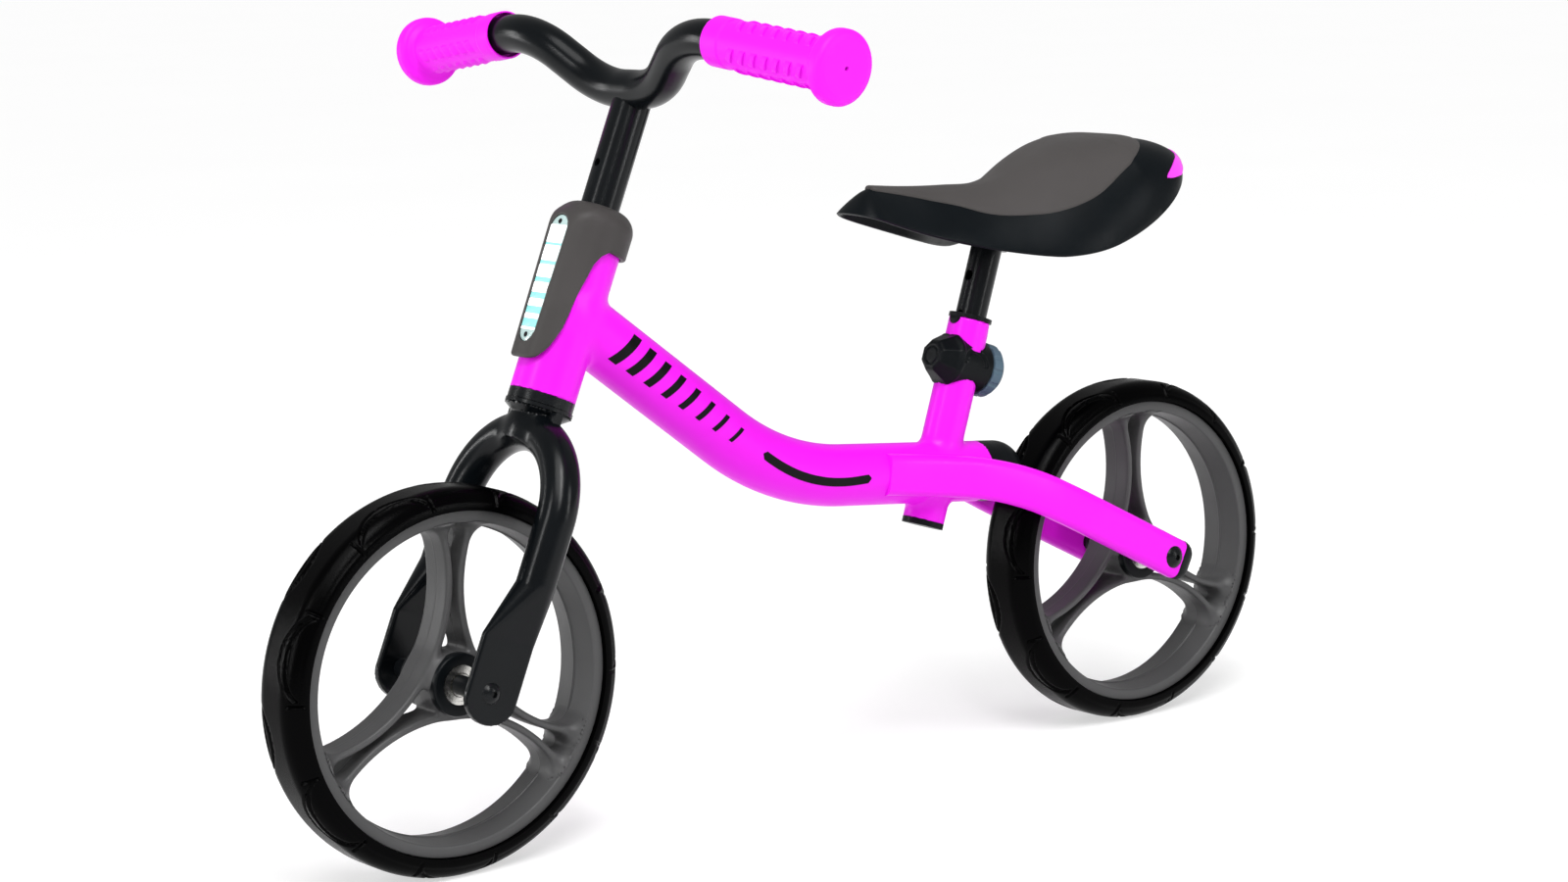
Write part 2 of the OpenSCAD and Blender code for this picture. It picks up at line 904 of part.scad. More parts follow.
module clamp_knob()
    color("#5a7286")
        in_seat()
            translate([0, clamp_rear + 0.4, clamp_s])
                rotate([-90, 0, 0])
                    difference() {
                        union() {
                            cylinder(r = knob_r, h = knob_t - 3);
                            translate([0, 0, knob_t - 3]) cylinder(r1 = knob_r, r2 = knob_r - 2.5, h = 3);
                        }
                        for (i = [0 : 11])
                            rotate([0, 0, 30 * i])
                                translate([knob_r + 1.6, 0, -cut])
                                    cylinder(r = 2.4, h = knob_t + 2 * cut, $fn = 32);
                        translate([0, 0, -cut]) cylinder(r = stud_r, h = 6 + cut);
                    }

module clamp_stud()
    color("silver")
        in_seat()
            translate([0, post_r + 0.35, clamp_s])
                rotate([-90, 0, 0])
                    cylinder(r = stud_r, h = clamp_rear + 0.4 + 6 - post_r - 0.35);

function round_end(u) = sqrt(max(0, 1 - u * u));
// Half-width of the saddle at u, from the nose (0) to the tail (1), inset all round
function saddle_w(u, inset) = (nose_half - inset + (saddle_half - nose_half) * ease((u - 0.2) / 0.45))
    * (u < nose_u ? round_end(1 - u / nose_u) : 1)
    * (u > tail_u ? round_end((u - tail_u) / (1 - tail_u)) : 1);
function saddle_top(u) = saddle_z - 4 * sin(min(u / 0.42, 1) * 90) + tail_lift * ease((u - 0.38) / 0.4)
    - 8 * pow(max(0, u - 0.82) / 0.18, 2) - 10 * pow(max(0, 0.06 - u) / 0.06, 2);
function saddle_low(u) = skirt_z
    + (u < skirt_u
        ? skirt_nose * pow((skirt_u - u) / skirt_u, 2)
        : skirt_tail * pow((u - skirt_u) / (1 - skirt_u), 2));
// Steps along the saddle, closer together at both ends
function at_u(i) = (1 - cos(180 * i / steps)) / 2;

// The saddle from above, drawn in from its edge, and further at the tail
module saddle_plan(inset, tail_inset) {
    l = saddle_l - inset - tail_inset;
    translate([0, saddle_y + inset])
        polygon(concat(
            [for (i = [0 : steps]) [saddle_w(at_u(i), inset), at_u(i) * l]],
            [for (i = [steps - 1 : -1 : 1]) [-saddle_w(at_u(i), inset), at_u(i) * l]]
        ));
}

// The side view between the saddle's top and its lower edge, both moved up or down
module saddle_side(top_shift, low_shift)
    side_view()
        linear_extrude(160, center = true)
            polygon(concat(
                [for (i = [0 : steps]) [saddle_y + saddle_l * at_u(i), saddle_top(at_u(i)) + top_shift]],
                [for (i = [steps : -1 : 0]) [saddle_y + saddle_l * at_u(i), saddle_low(at_u(i)) + low_shift]]
            ));

// The layer between two depths below the saddle's top
module saddle_layer(from, to)
    side_view()
        linear_extrude(160, center = true)
            polygon(concat(
                [for (i = [0 : steps]) [saddle_y + saddle_l * at_u(i), saddle_top(at_u(i)) - from]],
                [for (i = [steps : -1 : 0]) [saddle_y + saddle_l * at_u(i), saddle_top(at_u(i)) - to]]
            ));

module upright(shift = 0)
    translate([0, 0, 280 + shift])
        linear_extrude(140)
            children();

module pad_space(over)
    intersection() {
        saddle_layer(-over, pad_t);
        upright() saddle_plan(pad_inset, pad_inset + 3);
    }

// The band round the back and the sides of the tail
module tail_plan()
    difference() {
        saddle_plan(-1, -1);
        saddle_plan(tail_t, tail_t);
        translate([-100, 0]) square([200, saddle_y + 0.78 * saddle_l]);
    }

module saddle_pad()
    color("#505050")
        pad_space(0);

module saddle_shell()
    color("#1a1f23")
        difference() {
            intersection() {
                saddle_side(-0.8, 0);
                upright() saddle_plan(0, 0);
            }
            difference() {
                intersection() {
                    saddle_side(-pad_t - shell_t, -60);
                    upright(-60) saddle_plan(shell_t, shell_t);
                }
                for (x = [-1, 1], y = boss_y)
                    translate([x * boss_x, y, plate_z])
                        cylinder(r = 6, h = 60);
            }
            pad_space(3);
            intersection() {
                saddle_layer(-3, tail_h);
                upright() tail_plan();
            }
            for (x = [-1, 1], y = boss_y)
                translate([x * boss_x, y, plate_z - cut])
                    cylinder(r = 2, h = 5 + cut);
        }

module saddle_tail()
    color("#f08af2", 0.8)
        intersection() {
            saddle_layer(0.8, tail_h);
            upright() saddle_plan(0, 0);
            upright() tail_plan();
        }

// Plate under the saddle, welded to a collar on the post
module saddle_bracket()
    color("#222222")
        difference() {
            union() {
                in_seat() ring(post_s[1] - 14, post_s[1] + 14, post_r + 3, post_r);
                translate([-boss_x - 7, boss_y[0] - 7, plate_z - plate_t])
                    cube([2 * boss_x + 14, boss_y[1] - boss_y[0] + 14, plate_t]);
            }
            translate([-50, 50, plate_z]) cube([100, 200, 60]);
            for (x = [-1, 1], y = boss_y)
                translate([x * boss_x, y, plate_z - 2 * plate_t])
                    cylinder(r = 2, h = 3 * plate_t);
        }

module saddle_bolts()
    color("silver")
        for (x = [-1, 1], y = boss_y)
            translate([x * boss_x, y, plate_z - plate_t])
                union() {
                    translate([0, 0, -2.5]) cylinder(r = 4, h = 2.5);
                    cylinder(r = 2, h = plate_t + 5);
                }

// What is drawn -------------------------------------------------------

head_tube();
main_tube();
seat_tube();
stay();  // stay_left
mirror([1, 0, 0]) stay();  // stay_right
main_tube_cap();
seat_tube_cap();
stay_cap();  // stay_cap_left
mirror([1, 0, 0]) stay_cap();  // stay_cap_right
head_cover();
light_lens();
light_board();
light_cells();
lens_screws();
lower_cup();
lower_bearing();
upper_cup();
upper_bearing();
steerer();
fork_blades();
crown_gussets();
crown_race();
head_locknut();
stem_collar();
stem_screw();
axle(front_y, front_span);  // front_axle
axle_bolts(front_y, front_span, plate_x[1], 6);  // front_axle_bolts
spacers(front_y, front_span);  // front_spacers
bearing_inners(front_y);  // front_bearing_inners
bearing_outers(front_y);  // front_bearing_outers
rim(front_y);  // front_rim
spokes(front_y, front_turn);  // front_spokes
tyre(front_y);  // front_tyre
stem_tube();
handlebar();
grip(1);  // grip_left
grip(-1);  // grip_right
axle(rear_y, rear_span);  // rear_axle
axle_bolts(rear_y, rear_span, rear_span + stay_w, 7);  // rear_axle_bolts
spacers(rear_y, rear_span);  // rear_spacers
bearing_inners(rear_y);  // rear_bearing_inners
bearing_outers(rear_y);  // rear_bearing_outers
rim(rear_y);  // rear_rim
spokes(rear_y, rear_turn);  // rear_spokes
tyre(rear_y);  // rear_tyre
seat_post();
post_bush();
post_plug();
clamp_body();
clamp_knob();
clamp_stud();
saddle_bracket();
saddle_shell();
saddle_pad();
saddle_tail();
saddle_bolts();
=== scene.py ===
"""Looks of the balance bike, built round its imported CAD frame."""

import json
import math

import bmesh
import bpy
import numpy as np
from mathutils import Matrix, Vector


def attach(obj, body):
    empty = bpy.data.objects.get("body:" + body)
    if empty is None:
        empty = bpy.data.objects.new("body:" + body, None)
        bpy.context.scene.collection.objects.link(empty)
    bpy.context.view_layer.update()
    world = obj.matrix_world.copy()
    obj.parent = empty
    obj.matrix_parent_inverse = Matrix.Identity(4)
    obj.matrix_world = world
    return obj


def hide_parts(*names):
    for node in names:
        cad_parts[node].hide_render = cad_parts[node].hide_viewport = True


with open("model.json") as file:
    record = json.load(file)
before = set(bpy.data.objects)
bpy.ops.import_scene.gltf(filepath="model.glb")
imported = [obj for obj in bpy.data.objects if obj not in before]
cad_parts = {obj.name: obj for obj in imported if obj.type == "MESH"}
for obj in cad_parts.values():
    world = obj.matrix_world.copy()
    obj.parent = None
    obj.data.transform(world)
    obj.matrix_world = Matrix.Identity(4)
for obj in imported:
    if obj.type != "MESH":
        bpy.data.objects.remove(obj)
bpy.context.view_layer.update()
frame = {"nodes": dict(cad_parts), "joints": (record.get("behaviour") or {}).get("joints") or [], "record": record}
joints = {j["name"]: j for j in frame["joints"]}

# Sizes are in millimetres up to new_piece(), which turns them into metres.
MM = 0.001
TAU = 2 * math.pi

# Sizes that follow the CAD model -------------------------------------------------

AXLE_Y = 258.5
AXLE_Z = 108.0
TYRE_R, TYRE_HALF, SHOULDER_R = 108.0, 18.5, 11.0
LIP_R, RIM_HALF = 95.6, 16.3
HUB_R, HUB_HALF = 17.0, 17.4
BEARING_R, BEARING_W = 11.0, 7.0
RIB_BEND, RIB_T, RIB_HALF = 90.0, 4.4, 11.0
RIB_GAP = 1.6
RIB_CENTRE = (RIB_GAP + RIB_T / 2 + RIB_BEND) / math.sin(math.radians(60))
BARREL_R, BARREL_FLARE, RIB_REACH = 87.05, 2.2, 89.4
FRONT_TURN, REAR_TURN = 86.0, 90.0

TUBE_R = 11.0
BAR_T, BAR_TILT, BAR_AHEAD = 343.5, 49.4, 3.0
BAR_CORNERS = [(25.7, 0.0), (72.4, 36.4), (191.8, 19.4)]
BAR_BEND = 56.0
GRIP_L = 99.0

LEG_X, LEG_Y, ARCH_T = 47.0, -1.0, 97.5
PLATE_X, PLATE_HALF_T, PLATE_R, PLATE_Y = 44.3, 2.2, 17.2, -6.0
NECK_R, RACE_R = 13.6, 19.3

COVER_R, COVER_TOP, COVER_FRONT = 22.2, 275.0, 22.8
LENS_TOP, LENS_FOOT, LENS_FACE = (255.5, 8.0), (197.0, 6.9), 22.5

MAIN_R = 18.5
MAIN_PATH = [(-167.0, 299.7), (-23.0, 190.0), (131.6, 174.0)]
MAIN_BEND = 170.0
HEAD_R, HEAD_BORE, HEAD_T = 18.8, 15.4, (165.4, 252.0)
SEAT_TUBE_R, SEAT_BORE, SEAT_TUBE_S = 12.7, 9.8, (-30.0, 95.0)
CLAMP_S = 68.0

STAY_H, STAY_W, STAY_BEND = 25.0, 13.0, 200.0
STAY_V, STAY_FRONT, STAY_BACK, STAY_SLOPE = (134.0, 172.5), 86.0, 148.0, (7.6, 27.2)
STAY_X, STAY_X_Y, STAY_SINK = (24.0, 38.5), (92.0, 190.0), 11.0

SADDLE_Y, SADDLE_L = 36.0, 242.0


# Frames ---------------------------------------------------------------------------

def axis_frame(joint, along):
    """Rows of a frame whose third axis is the joint's, its origin `along` mm back down that axis."""
    axis = np.array(joints[joint]["axis"], float)
    origin = np.array(joints[joint]["pos_m"], float) / MM - along * axis
    rear = np.array([0, axis[2], -axis[1]])
    return origin, np.array([[1, 0, 0], rear, axis])


HEAD = axis_frame("steering", 165.0)
SEAT = axis_frame("seat_height", 60.0)


def place(points, at):
    """Points of a frame made by axis_frame, in the row's frame."""
    origin, rows = at
    return np.asarray(points, float) @ rows + origin


def unplace(x, y, z, at):
    """The row's coordinates, in a frame made by axis_frame."""
    origin, rows = at
    p = (x - origin[0], y - origin[1], z - origin[2])
    return [sum(row[k] * p[k] for k in range(3)) for row in rows]


# Meshes ---------------------------------------------------------------------------

def new_piece(name, verts, faces, material, body, replaces=(), sharp=None):
    """A mesh piece that rides on a CAD body, from points in mm."""
    mesh = bpy.data.meshes.new(name)
    mesh.from_pydata((np.asarray(verts, float) * MM).tolist(), [], [list(map(int, f)) for f in faces])
    mesh.validate()
    bm = bmesh.new()
    bm.from_mesh(mesh)
    bmesh.ops.remove_doubles(bm, verts=bm.verts, dist=1e-7)
    bmesh.ops.recalc_face_normals(bm, faces=bm.faces)
    bm.to_mesh(mesh)
    bm.free()
    mesh.shade_smooth()
    if sharp:
        mesh.set_sharp_from_angle(angle=math.radians(sharp))
    mesh.materials.append(material)
    obj = bpy.data.objects.new(name, mesh)
    bpy.context.scene.collection.objects.link(obj)
    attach(obj, body)
    if replaces:
        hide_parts(*replaces)
    return obj


def grid_faces(rows, cols, wrap_rows=False, wrap_cols=True):
    """Quads of a grid of points, row by row."""
    faces = []
    for i in range(rows if wrap_rows else rows - 1):
        for j in range(cols if wrap_cols else cols - 1):
            a, b = i * cols + j, i * cols + (j + 1) % cols
            c, d = ((i + 1) % rows) * cols + (j + 1) % cols, ((i + 1) % rows) * cols + j
            faces.append((a, b, c, d))
    return faces


def loft(loops, caps=True):
    """Loops with equal numbers of points, joined in turn, with flat ends."""
    loops = [np.asarray(q, float) for q in loops]
    n = len(loops[0])
    faces = grid_faces(len(loops), n)
    if caps:
        faces += [tuple(range(n)), tuple(range((len(loops) - 1) * n, len(loops) * n))]
    return np.concatenate(loops), faces


def revolve(profile, segments=144):
    """A closed ring from a closed profile of (radius, distance along the axis): the axis is Z."""
    p = np.asarray(profile, float)
    t = np.arange(segments) * TAU / segments
    verts = np.stack([np.outer(np.cos(t), p[:, 0]), np.outer(np.sin(t), p[:, 0]),
                      np.outer(np.ones(segments), p[:, 1])], -1).reshape(-1, 3)
    return verts, grid_faces(segments, len(p), wrap_rows=True)


def join(*parts):
    """Several (points, faces) as one."""
    verts, faces, n = [], [], 0
    for v, f in parts:
        verts.append(np.asarray(v, float))
        faces += [tuple(i + n for i in q) for q in f]
        n += len(v)
    return np.concatenate(verts), faces


def rounded(corners, radii, n=6):
    """A closed outline of corners, each rounded by an arc."""
    out, m = [], len(corners)
    radii = [radii] * m if np.isscalar(radii) else radii
    for i in range(m):
        p, a, b = (np.array(corners[k % m], float) for k in (i, i - 1, i + 1))
        u, v = (a - p) / np.linalg.norm(a - p), (b - p) / np.linalg.norm(b - p)
        half = math.acos(np.clip(u @ v, -1, 1)) / 2
        r = radii[i]
        if r <= 0 or half > 1.56:
            out.append(p)
            continue
        centre = p + (u + v) / np.linalg.norm(u + v) * r / math.sin(half)
        a0 = p + u * r / math.tan(half) - centre
        b0 = p + v * r / math.tan(half) - centre
        s, e = math.atan2(a0[1], a0[0]), math.atan2(b0[1], b0[0])
        turn = (e - s + math.pi) % TAU - math.pi
        angles = s + turn * np.arange(n + 1) / n
        out += [centre + r * np.array([math.cos(t), math.sin(t)]) for t in angles]
    return np.array(out)


def bent_line(points, radius, step=2.0):
    """A flat line of points with its corners bent to one radius, sampled evenly."""
    pts = [np.array(p, float) for p in points]
    out = [pts[0]]
    for i in range(1, len(pts) - 1):
        u, v = pts[i - 1] - pts[i], pts[i + 1] - pts[i]
        u, v = u / np.linalg.norm(u), v / np.linalg.norm(v)
        half = math.acos(np.clip(u @ v, -1, 1)) / 2
        centre = pts[i] + (u + v) / np.linalg.norm(u + v) * radius / math.sin(half)
        a, b = pts[i] + u * radius / math.tan(half) - centre, pts[i] + v * radius / math.tan(half) - centre
        turn = math.pi - 2 * half
        count = max(4, int(radius * turn / step))
        for k in range(count + 1):
            t = k / count
            out.append(centre + (a * math.sin((1 - t) * turn) + b * math.sin(t * turn)) / math.sin(turn))
    out.append(pts[-1])
    fine = []
    for a, b in zip(out, out[1:]):
        count = max(1, int(np.linalg.norm(b - a) / (2.5 * step)))
        fine += [a + (b - a) * k / count for k in range(count)]
    return np.array(fine + [out[-1]])


def sweep(path, section, across=(0, 0, 1)):
    """Loops of a section along a path: points of (side, across), or a function of the station's number."""
    path, across = np.asarray(path, float), np.asarray(across, float)
    tangent = np.gradient(path, axis=0)
    tangent /= np.linalg.norm(tangent, axis=1)[:, None]
    loops = []
    for i, (p, t) in enumerate(zip(path, tangent)):
        side = np.cross(across, t)
        side /= np.linalg.norm(side)
        s = np.asarray(section(i) if callable(section) else section, float)
        loops.append(p + s[:, :1] * side + s[:, 1:] * across)
    return loops


def circle(r, n=48):
    """A closed ring of points."""
    t = np.arange(n) * TAU / n
    return np.stack([r * np.cos(t), r * np.sin(t)], -1)


def ease(v):
    """0 to 1 with level ends."""
    v = np.clip(v, 0, 1)
    return v * v * (3 - 2 * v)


# Distance fields, negative inside ---------------------------------------------------

def blend_min(a, b, k):
    """The union of two fields, filleted over about k mm."""
    h = np.clip(0.5 + 0.5 * (b - a) / k, 0, 1)
    return b + (a - b) * h - k * h * (1 - h)


def blend_max(a, b, k):
    """The overlap of two fields, its edge rounded over about k mm."""
    return -blend_min(-a, -b, k)


def round_box2(x, y, hx, hy, r):
    """Distance to a rectangle of half sizes hx and hy with corners of radius r."""
    qx, qy = abs(x) - hx + r, abs(y) - hy + r
    return np.hypot(np.maximum(qx, 0), np.maximum(qy, 0)) + np.minimum(np.maximum(qx, qy), 0) - r


def outline_distance(x, y, corners):
    """Signed distance to a closed outline in a plane."""
    corners = np.asarray(corners, float)
    d = np.full(np.shape(x), 1e9)
    inside = np.zeros(np.shape(x), bool)
    for (ax, ay), (bx, by) in zip(corners, np.roll(corners, -1, axis=0)):
        ex, ey = bx - ax, by - ay
        h = np.clip(((x - ax) * ex + (y - ay) * ey) / (ex * ex + ey * ey), 0, 1)
        d = np.minimum(d, (x - ax - ex * h) ** 2 + (y - ay - ey * h) ** 2)
        if ey:
            inside ^= ((ay > y) != (by > y)) & (x < ex * (y - ay) / ey + ax)
    return np.where(inside, -1, 1) * np.sqrt(d)


def field_mesh(field, low, high, step):
    """The surface where field(x, y, z) is zero, as quads, by surface nets."""
    axes = [np.arange(a - 1.5 * step, b + 2.5 * step, step) for a, b in zip(low, high)]
    value = field(*np.meshgrid(*axes, indexing="ij"))
    inside = value < 0
    count = sum(inside[i:i - 1 or None, j:j - 1 or None, k:k - 1 or None].astype(np.int8)
                for i in (0, 1) for j in (0, 1) for k in (0, 1))
    cells = np.argwhere((count > 0) & (count < 8))
    number = np.full(count.shape, -1)
    number[tuple(cells.T)] = np.arange(len(cells))
    total, crossings = np.zeros((len(cells), 3)), np.zeros(len(cells))
    for axis in range(3):
        u, v = [a for a in range(3) if a != axis]
        for du in (0, 1):
            for dv in (0, 1):
                start = cells.copy()
                start[:, u] += du
                start[:, v] += dv
                end = start.copy()
                end[:, axis] += 1
                a, b = value[tuple(start.T)], value[tuple(end.T)]
                cut = (a < 0) != (b < 0)
                t = np.where(cut, a / np.where(cut, a - b, 1), 0)
                point = (start - cells).astype(float)
                point[:, axis] += t
                total += point * cut[:, None]
                crossings += cut
    low_corner = np.array([a[0] for a in axes])
    verts = low_corner + (cells + total / crossings[:, None]) * step
    limit = 0.8 * step
    rest = verts.copy()
    for _ in range(3):
        f = field(*verts.T)
        h = 0.05
        g = np.stack([(field(*(verts + d).T) - field(*(verts - d).T)) / (2 * h) for d in np.eye(3) * h], -1)
        move = -(f / np.maximum((g * g).sum(-1), 0.05))[:, None] * g
        verts = rest + np.clip(verts + move - rest, -limit, limit)
    faces = []
    for axis in range(3):
        u, v = [(1, 2), (2, 0), (0, 1)][axis]
        a = np.take(inside, range(inside.shape[axis] - 1), axis)
        b = np.take(inside, range(1, inside.shape[axis]), axis)
        edge = np.argwhere(a != b)
        edge = edge[(edge[:, u] > 0) & (edge[:, v] > 0)]
        edge = edge[(edge[:, u] < count.shape[u]) & (edge[:, v] < count.shape[v])]
        corners = []
        for du, dv in ((1, 1), (0, 1), (0, 0), (1, 0)):
            c = edge.copy()
            c[:, u] -= du
            c[:, v] -= dv
            corners.append(number[tuple(c.T)])
        quads = np.stack(corners, -1)
        flip = ~inside[tuple(edge.T)]
        quads[flip] = quads[flip][:, ::-1]
        faces.append(quads)
    return verts, np.concatenate(faces)


# Materials --------------------------------------------------------------------------

def material(name, colour, rough, vary=0.08, scale=60.0, bump=0.0, bump_scale=900.0, metallic=0.0,
             specular=0.5, coat=0.0, coat_rough=0.1, rough_vary=0.08, worn=None, alpha=1.0, glow=None,
             sheen=0.0, band=None):
    """A surface with a slight drift of colour and gloss, a fine grain, and lighter worn edges where asked."""
    m = bpy.data.materials.new(name)
    m.use_nodes = True
    nt = m.node_tree
    link = nt.links.new
    p = nt.nodes["Principled BSDF"]
    p.inputs["Metallic"].default_value = metallic
    p.inputs["Specular IOR Level"].default_value = specular
    p.inputs["Coat Weight"].default_value = coat
    p.inputs["Coat Roughness"].default_value = coat_rough
    p.inputs["Alpha"].default_value = alpha
    p.inputs["Sheen Weight"].default_value = sheen
    where = nt.nodes.new("ShaderNodeTexCoord")

    def noise(size, detail=3.0, roughness=0.55):
        n = nt.nodes.new("ShaderNodeTexNoise")
        n.inputs["Scale"].default_value = size
        n.inputs["Detail"].default_value = detail
        n.inputs["Roughness"].default_value = roughness
        link(where.outputs["Object"], n.inputs["Vector"])
        return n

    drift = noise(scale)
    ramp = nt.nodes.new("ShaderNodeValToRGB")
    ramp.color_ramp.elements[0].position = 0.3
    ramp.color_ramp.elements[1].position = 0.7
    ramp.color_ramp.elements[0].color = [max(0.0, c * (1 - vary)) for c in colour] + [1]
    ramp.color_ramp.elements[1].color = [min(1.0, c * (1 + vary)) for c in colour] + [1]
    link(drift.outputs["Fac"], ramp.inputs["Fac"])
    shade = ramp.outputs["Color"]
    if worn:
        amount, tint = worn
        geo = nt.nodes.new("ShaderNodeNewGeometry")
        edge = nt.nodes.new("ShaderNodeMapRange")
        edge.inputs["From Min"].default_value = 0.52
        edge.inputs["From Max"].default_value = 0.62
        edge.inputs["To Max"].default_value = amount
        link(geo.outputs["Pointiness"], edge.inputs["Value"])
        mix = nt.nodes.new("ShaderNodeMix")
        mix.data_type = "RGBA"
        mix.inputs["B"].default_value = (*tint, 1)
        link(edge.outputs["Result"], mix.inputs["Factor"])
        link(shade, mix.inputs["A"])
        shade = mix.outputs["Result"]
    link(shade, p.inputs["Base Color"])
    gloss = nt.nodes.new("ShaderNodeMapRange")
    gloss.inputs["To Min"].default_value = max(0.02, rough - rough_vary)
    gloss.inputs["To Max"].default_value = min(1.0, rough + rough_vary)
    link(noise(scale * 3).outputs["Fac"], gloss.inputs["Value"])
    link(gloss.outputs["Result"], p.inputs["Roughness"])
    height = None
    if bump:
        height = noise(bump_scale, 2.0).outputs["Fac"]
        if band:
            # A fine raised parting line where the object's X is zero
            split = nt.nodes.new("ShaderNodeSeparateXYZ")
            link(where.outputs["Object"], split.inputs["Vector"])
            size = nt.nodes.new("ShaderNodeMath")
            size.operation = "ABSOLUTE"
            link(split.outputs["X"], size.inputs[0])
            ridge = nt.nodes.new("ShaderNodeMapRange")
            ridge.inputs["From Min"].default_value = 0.0
            ridge.inputs["From Max"].default_value = band * MM
            ridge.inputs["To Min"].default_value = 2.5
            ridge.inputs["To Max"].default_value = 0.0
            link(size.outputs["Value"], ridge.inputs["Value"])
            add = nt.nodes.new("ShaderNodeMath")
            add.operation = "ADD"
            link(height, add.inputs[0])
            link(ridge.outputs["Result"], add.inputs[1])
            height = add.outputs["Value"]
        b = nt.nodes.new("ShaderNodeBump")
        b.inputs["Strength"].default_value = bump
        b.inputs["Distance"].default_value = 0.0003
        link(height, b.inputs["Height"])
        link(b.outputs["Normal"], p.inputs["Normal"])
    if glow:
        p.inputs["Emission Color"].default_value = (*glow[0], 1)
        p.inputs["Emission Strength"].default_value = glow[1]
    return m


paint = material("pink_powder_coat", (0.76, 0.009, 0.74), 0.36, vary=0.015, scale=25, bump=0.12,
                 bump_scale=1400, specular=0.12, coat=0.05, coat_rough=0.2, rough_vary=0.06)
grip_rubber = material("pink_rubber", (0.77, 0.010, 0.75), 0.45, vary=0.02, scale=40, bump=0.2,
                       bump_scale=1800, specular=0.12)
black_coat = material("black_powder_coat", (0.0018, 0.0026, 0.0034), 0.22, vary=0.2, scale=30, bump=0.12,
                      bump_scale=1600, specular=0.17, rough_vary=0.04, worn=(0.05, (0.03, 0.03, 0.03)))
black_plastic = material("black_moulding", (0.0025, 0.0034, 0.0042), 0.33, vary=0.2, scale=50, bump=0.3,
                         bump_scale=2200, specular=0.1, worn=(0.04, (0.05, 0.05, 0.055)))
wheel_plastic = material("wheel_moulding", (0.056, 0.056, 0.057), 0.42, vary=0.07, scale=22, bump=0.25,
                         bump_scale=1900, specular=0.28, worn=(0.3, (0.13, 0.13, 0.13)), band=0.5)
cover_plastic = material("cover_moulding", (0.044, 0.041, 0.040), 0.42, vary=0.06, scale=30, bump=0.3,
                         bump_scale=2400, specular=0.15, worn=(0.35, (0.16, 0.15, 0.15)))
tyre_foam = material("tyre_foam", (0.0004, 0.0004, 0.0005), 0.22, vary=0.35, scale=18, bump=0.3,
                     bump_scale=1500, specular=0.03, rough_vary=0.05)
saddle_black = material("saddle_shell", (0.0030, 0.0044, 0.0056), 0.34, vary=0.15, scale=24, bump=0.25,
                        bump_scale=2600, specular=0.08, worn=(0.06, (0.03, 0.035, 0.04)))
saddle_grey = material("saddle_pad", (0.052, 0.048, 0.047), 0.55, vary=0.05, scale=20, bump=0.5,
                       bump_scale=3000, specular=0.12, sheen=0.05)
tail_pink = material("tail_insert", (0.92, 0.05, 0.86), 0.22, vary=0.03, scale=30, bump=0.05,
                     specular=0.3, coat=0.3, coat_rough=0.08)
knob_blue = material("knob_moulding", (0.055, 0.095, 0.13), 0.45, vary=0.08, scale=50, bump=0.3,
                     bump_scale=2200, specular=0.2, worn=(0.15, (0.2, 0.27, 0.34)))
lens_clear = material("lens", (0.36, 0.46, 0.45), 0.16, vary=0.05, scale=60, bump=0.04, specular=0.5,
                      coat=0.4, glow=((0.45, 0.95, 0.93), 0.08))
lens_white = material("lens_bars", (0.93, 0.96, 0.96), 0.3, vary=0.02, scale=90, bump=0.05, specular=0.3,
                      glow=((0.95, 1.0, 1.0), 0.55))
lens_cyan = material("lens_gaps", (0.26, 0.66, 0.65), 0.3, vary=0.05, scale=90, bump=0.05, specular=0.3,
                     glow=((0.3, 0.9, 0.87), 0.12))
board_green = material("solder_mask", (0.02, 0.09, 0.045), 0.35, vary=0.15, scale=200, bump=0.1,
                       specular=0.5)
zinc = material("zinc_plate", (0.55, 0.56, 0.57), 0.32, vary=0.1, scale=120, bump=0.1, bump_scale=2500,
                metallic=1.0)
black_steel = material("black_oxide", (0.0035, 0.0042, 0.005), 0.26, vary=0.25, scale=120, bump=0.12,
                       bump_scale=2500, specular=0.17)
bearing_steel = material("bearing_steel", (0.62, 0.61, 0.58), 0.2, vary=0.08, scale=200, bump=0.05,
                         metallic=1.0)
decal_black = material("decal_ink", (0.002, 0.002, 0.0025), 0.34, vary=0.2, scale=60, bump=0.05,
                       specular=0.1)

SLOT_MATERIALS = {
    "frame_paint": paint, "grip_rubber": grip_rubber, "black_coat": black_coat,
    "black_plastic": black_plastic, "wheel_plastic": wheel_plastic, "cover_plastic": cover_plastic,
    "tyre_foam": tyre_foam, "saddle_shell": saddle_black, "saddle_pad": saddle_grey,
    "tail_plastic": tail_pink, "knob_plastic": knob_blue, "clear_lens": lens_clear,
    "board": board_green, "zinc": zinc, "black_steel": black_steel, "bearing_steel": bearing_steel,
}

for row in frame["record"]["subparts"]:
    node = frame["nodes"][row["node"]]
    node.data.materials.clear()
    node.data.materials.append(SLOT_MATERIALS[row["material_slot"]])


# Wheels -----------------------------------------------------------------------------

def on_axle(points, y, turn=0.0):
    """Points of a wheel drawn with its axle along Z and angle 0 towards the rear, in the row's frame."""
    p = np.asarray(points, float)
    c, s = math.cos(math.radians(turn)), math.sin(math.radians(turn))
    u, v = c * p[:, 0] - s * p[:, 1], s * p[:, 0] + c * p[:, 1]
    return np.stack([p[:, 2], u + y, v + AXLE_Z], -1)


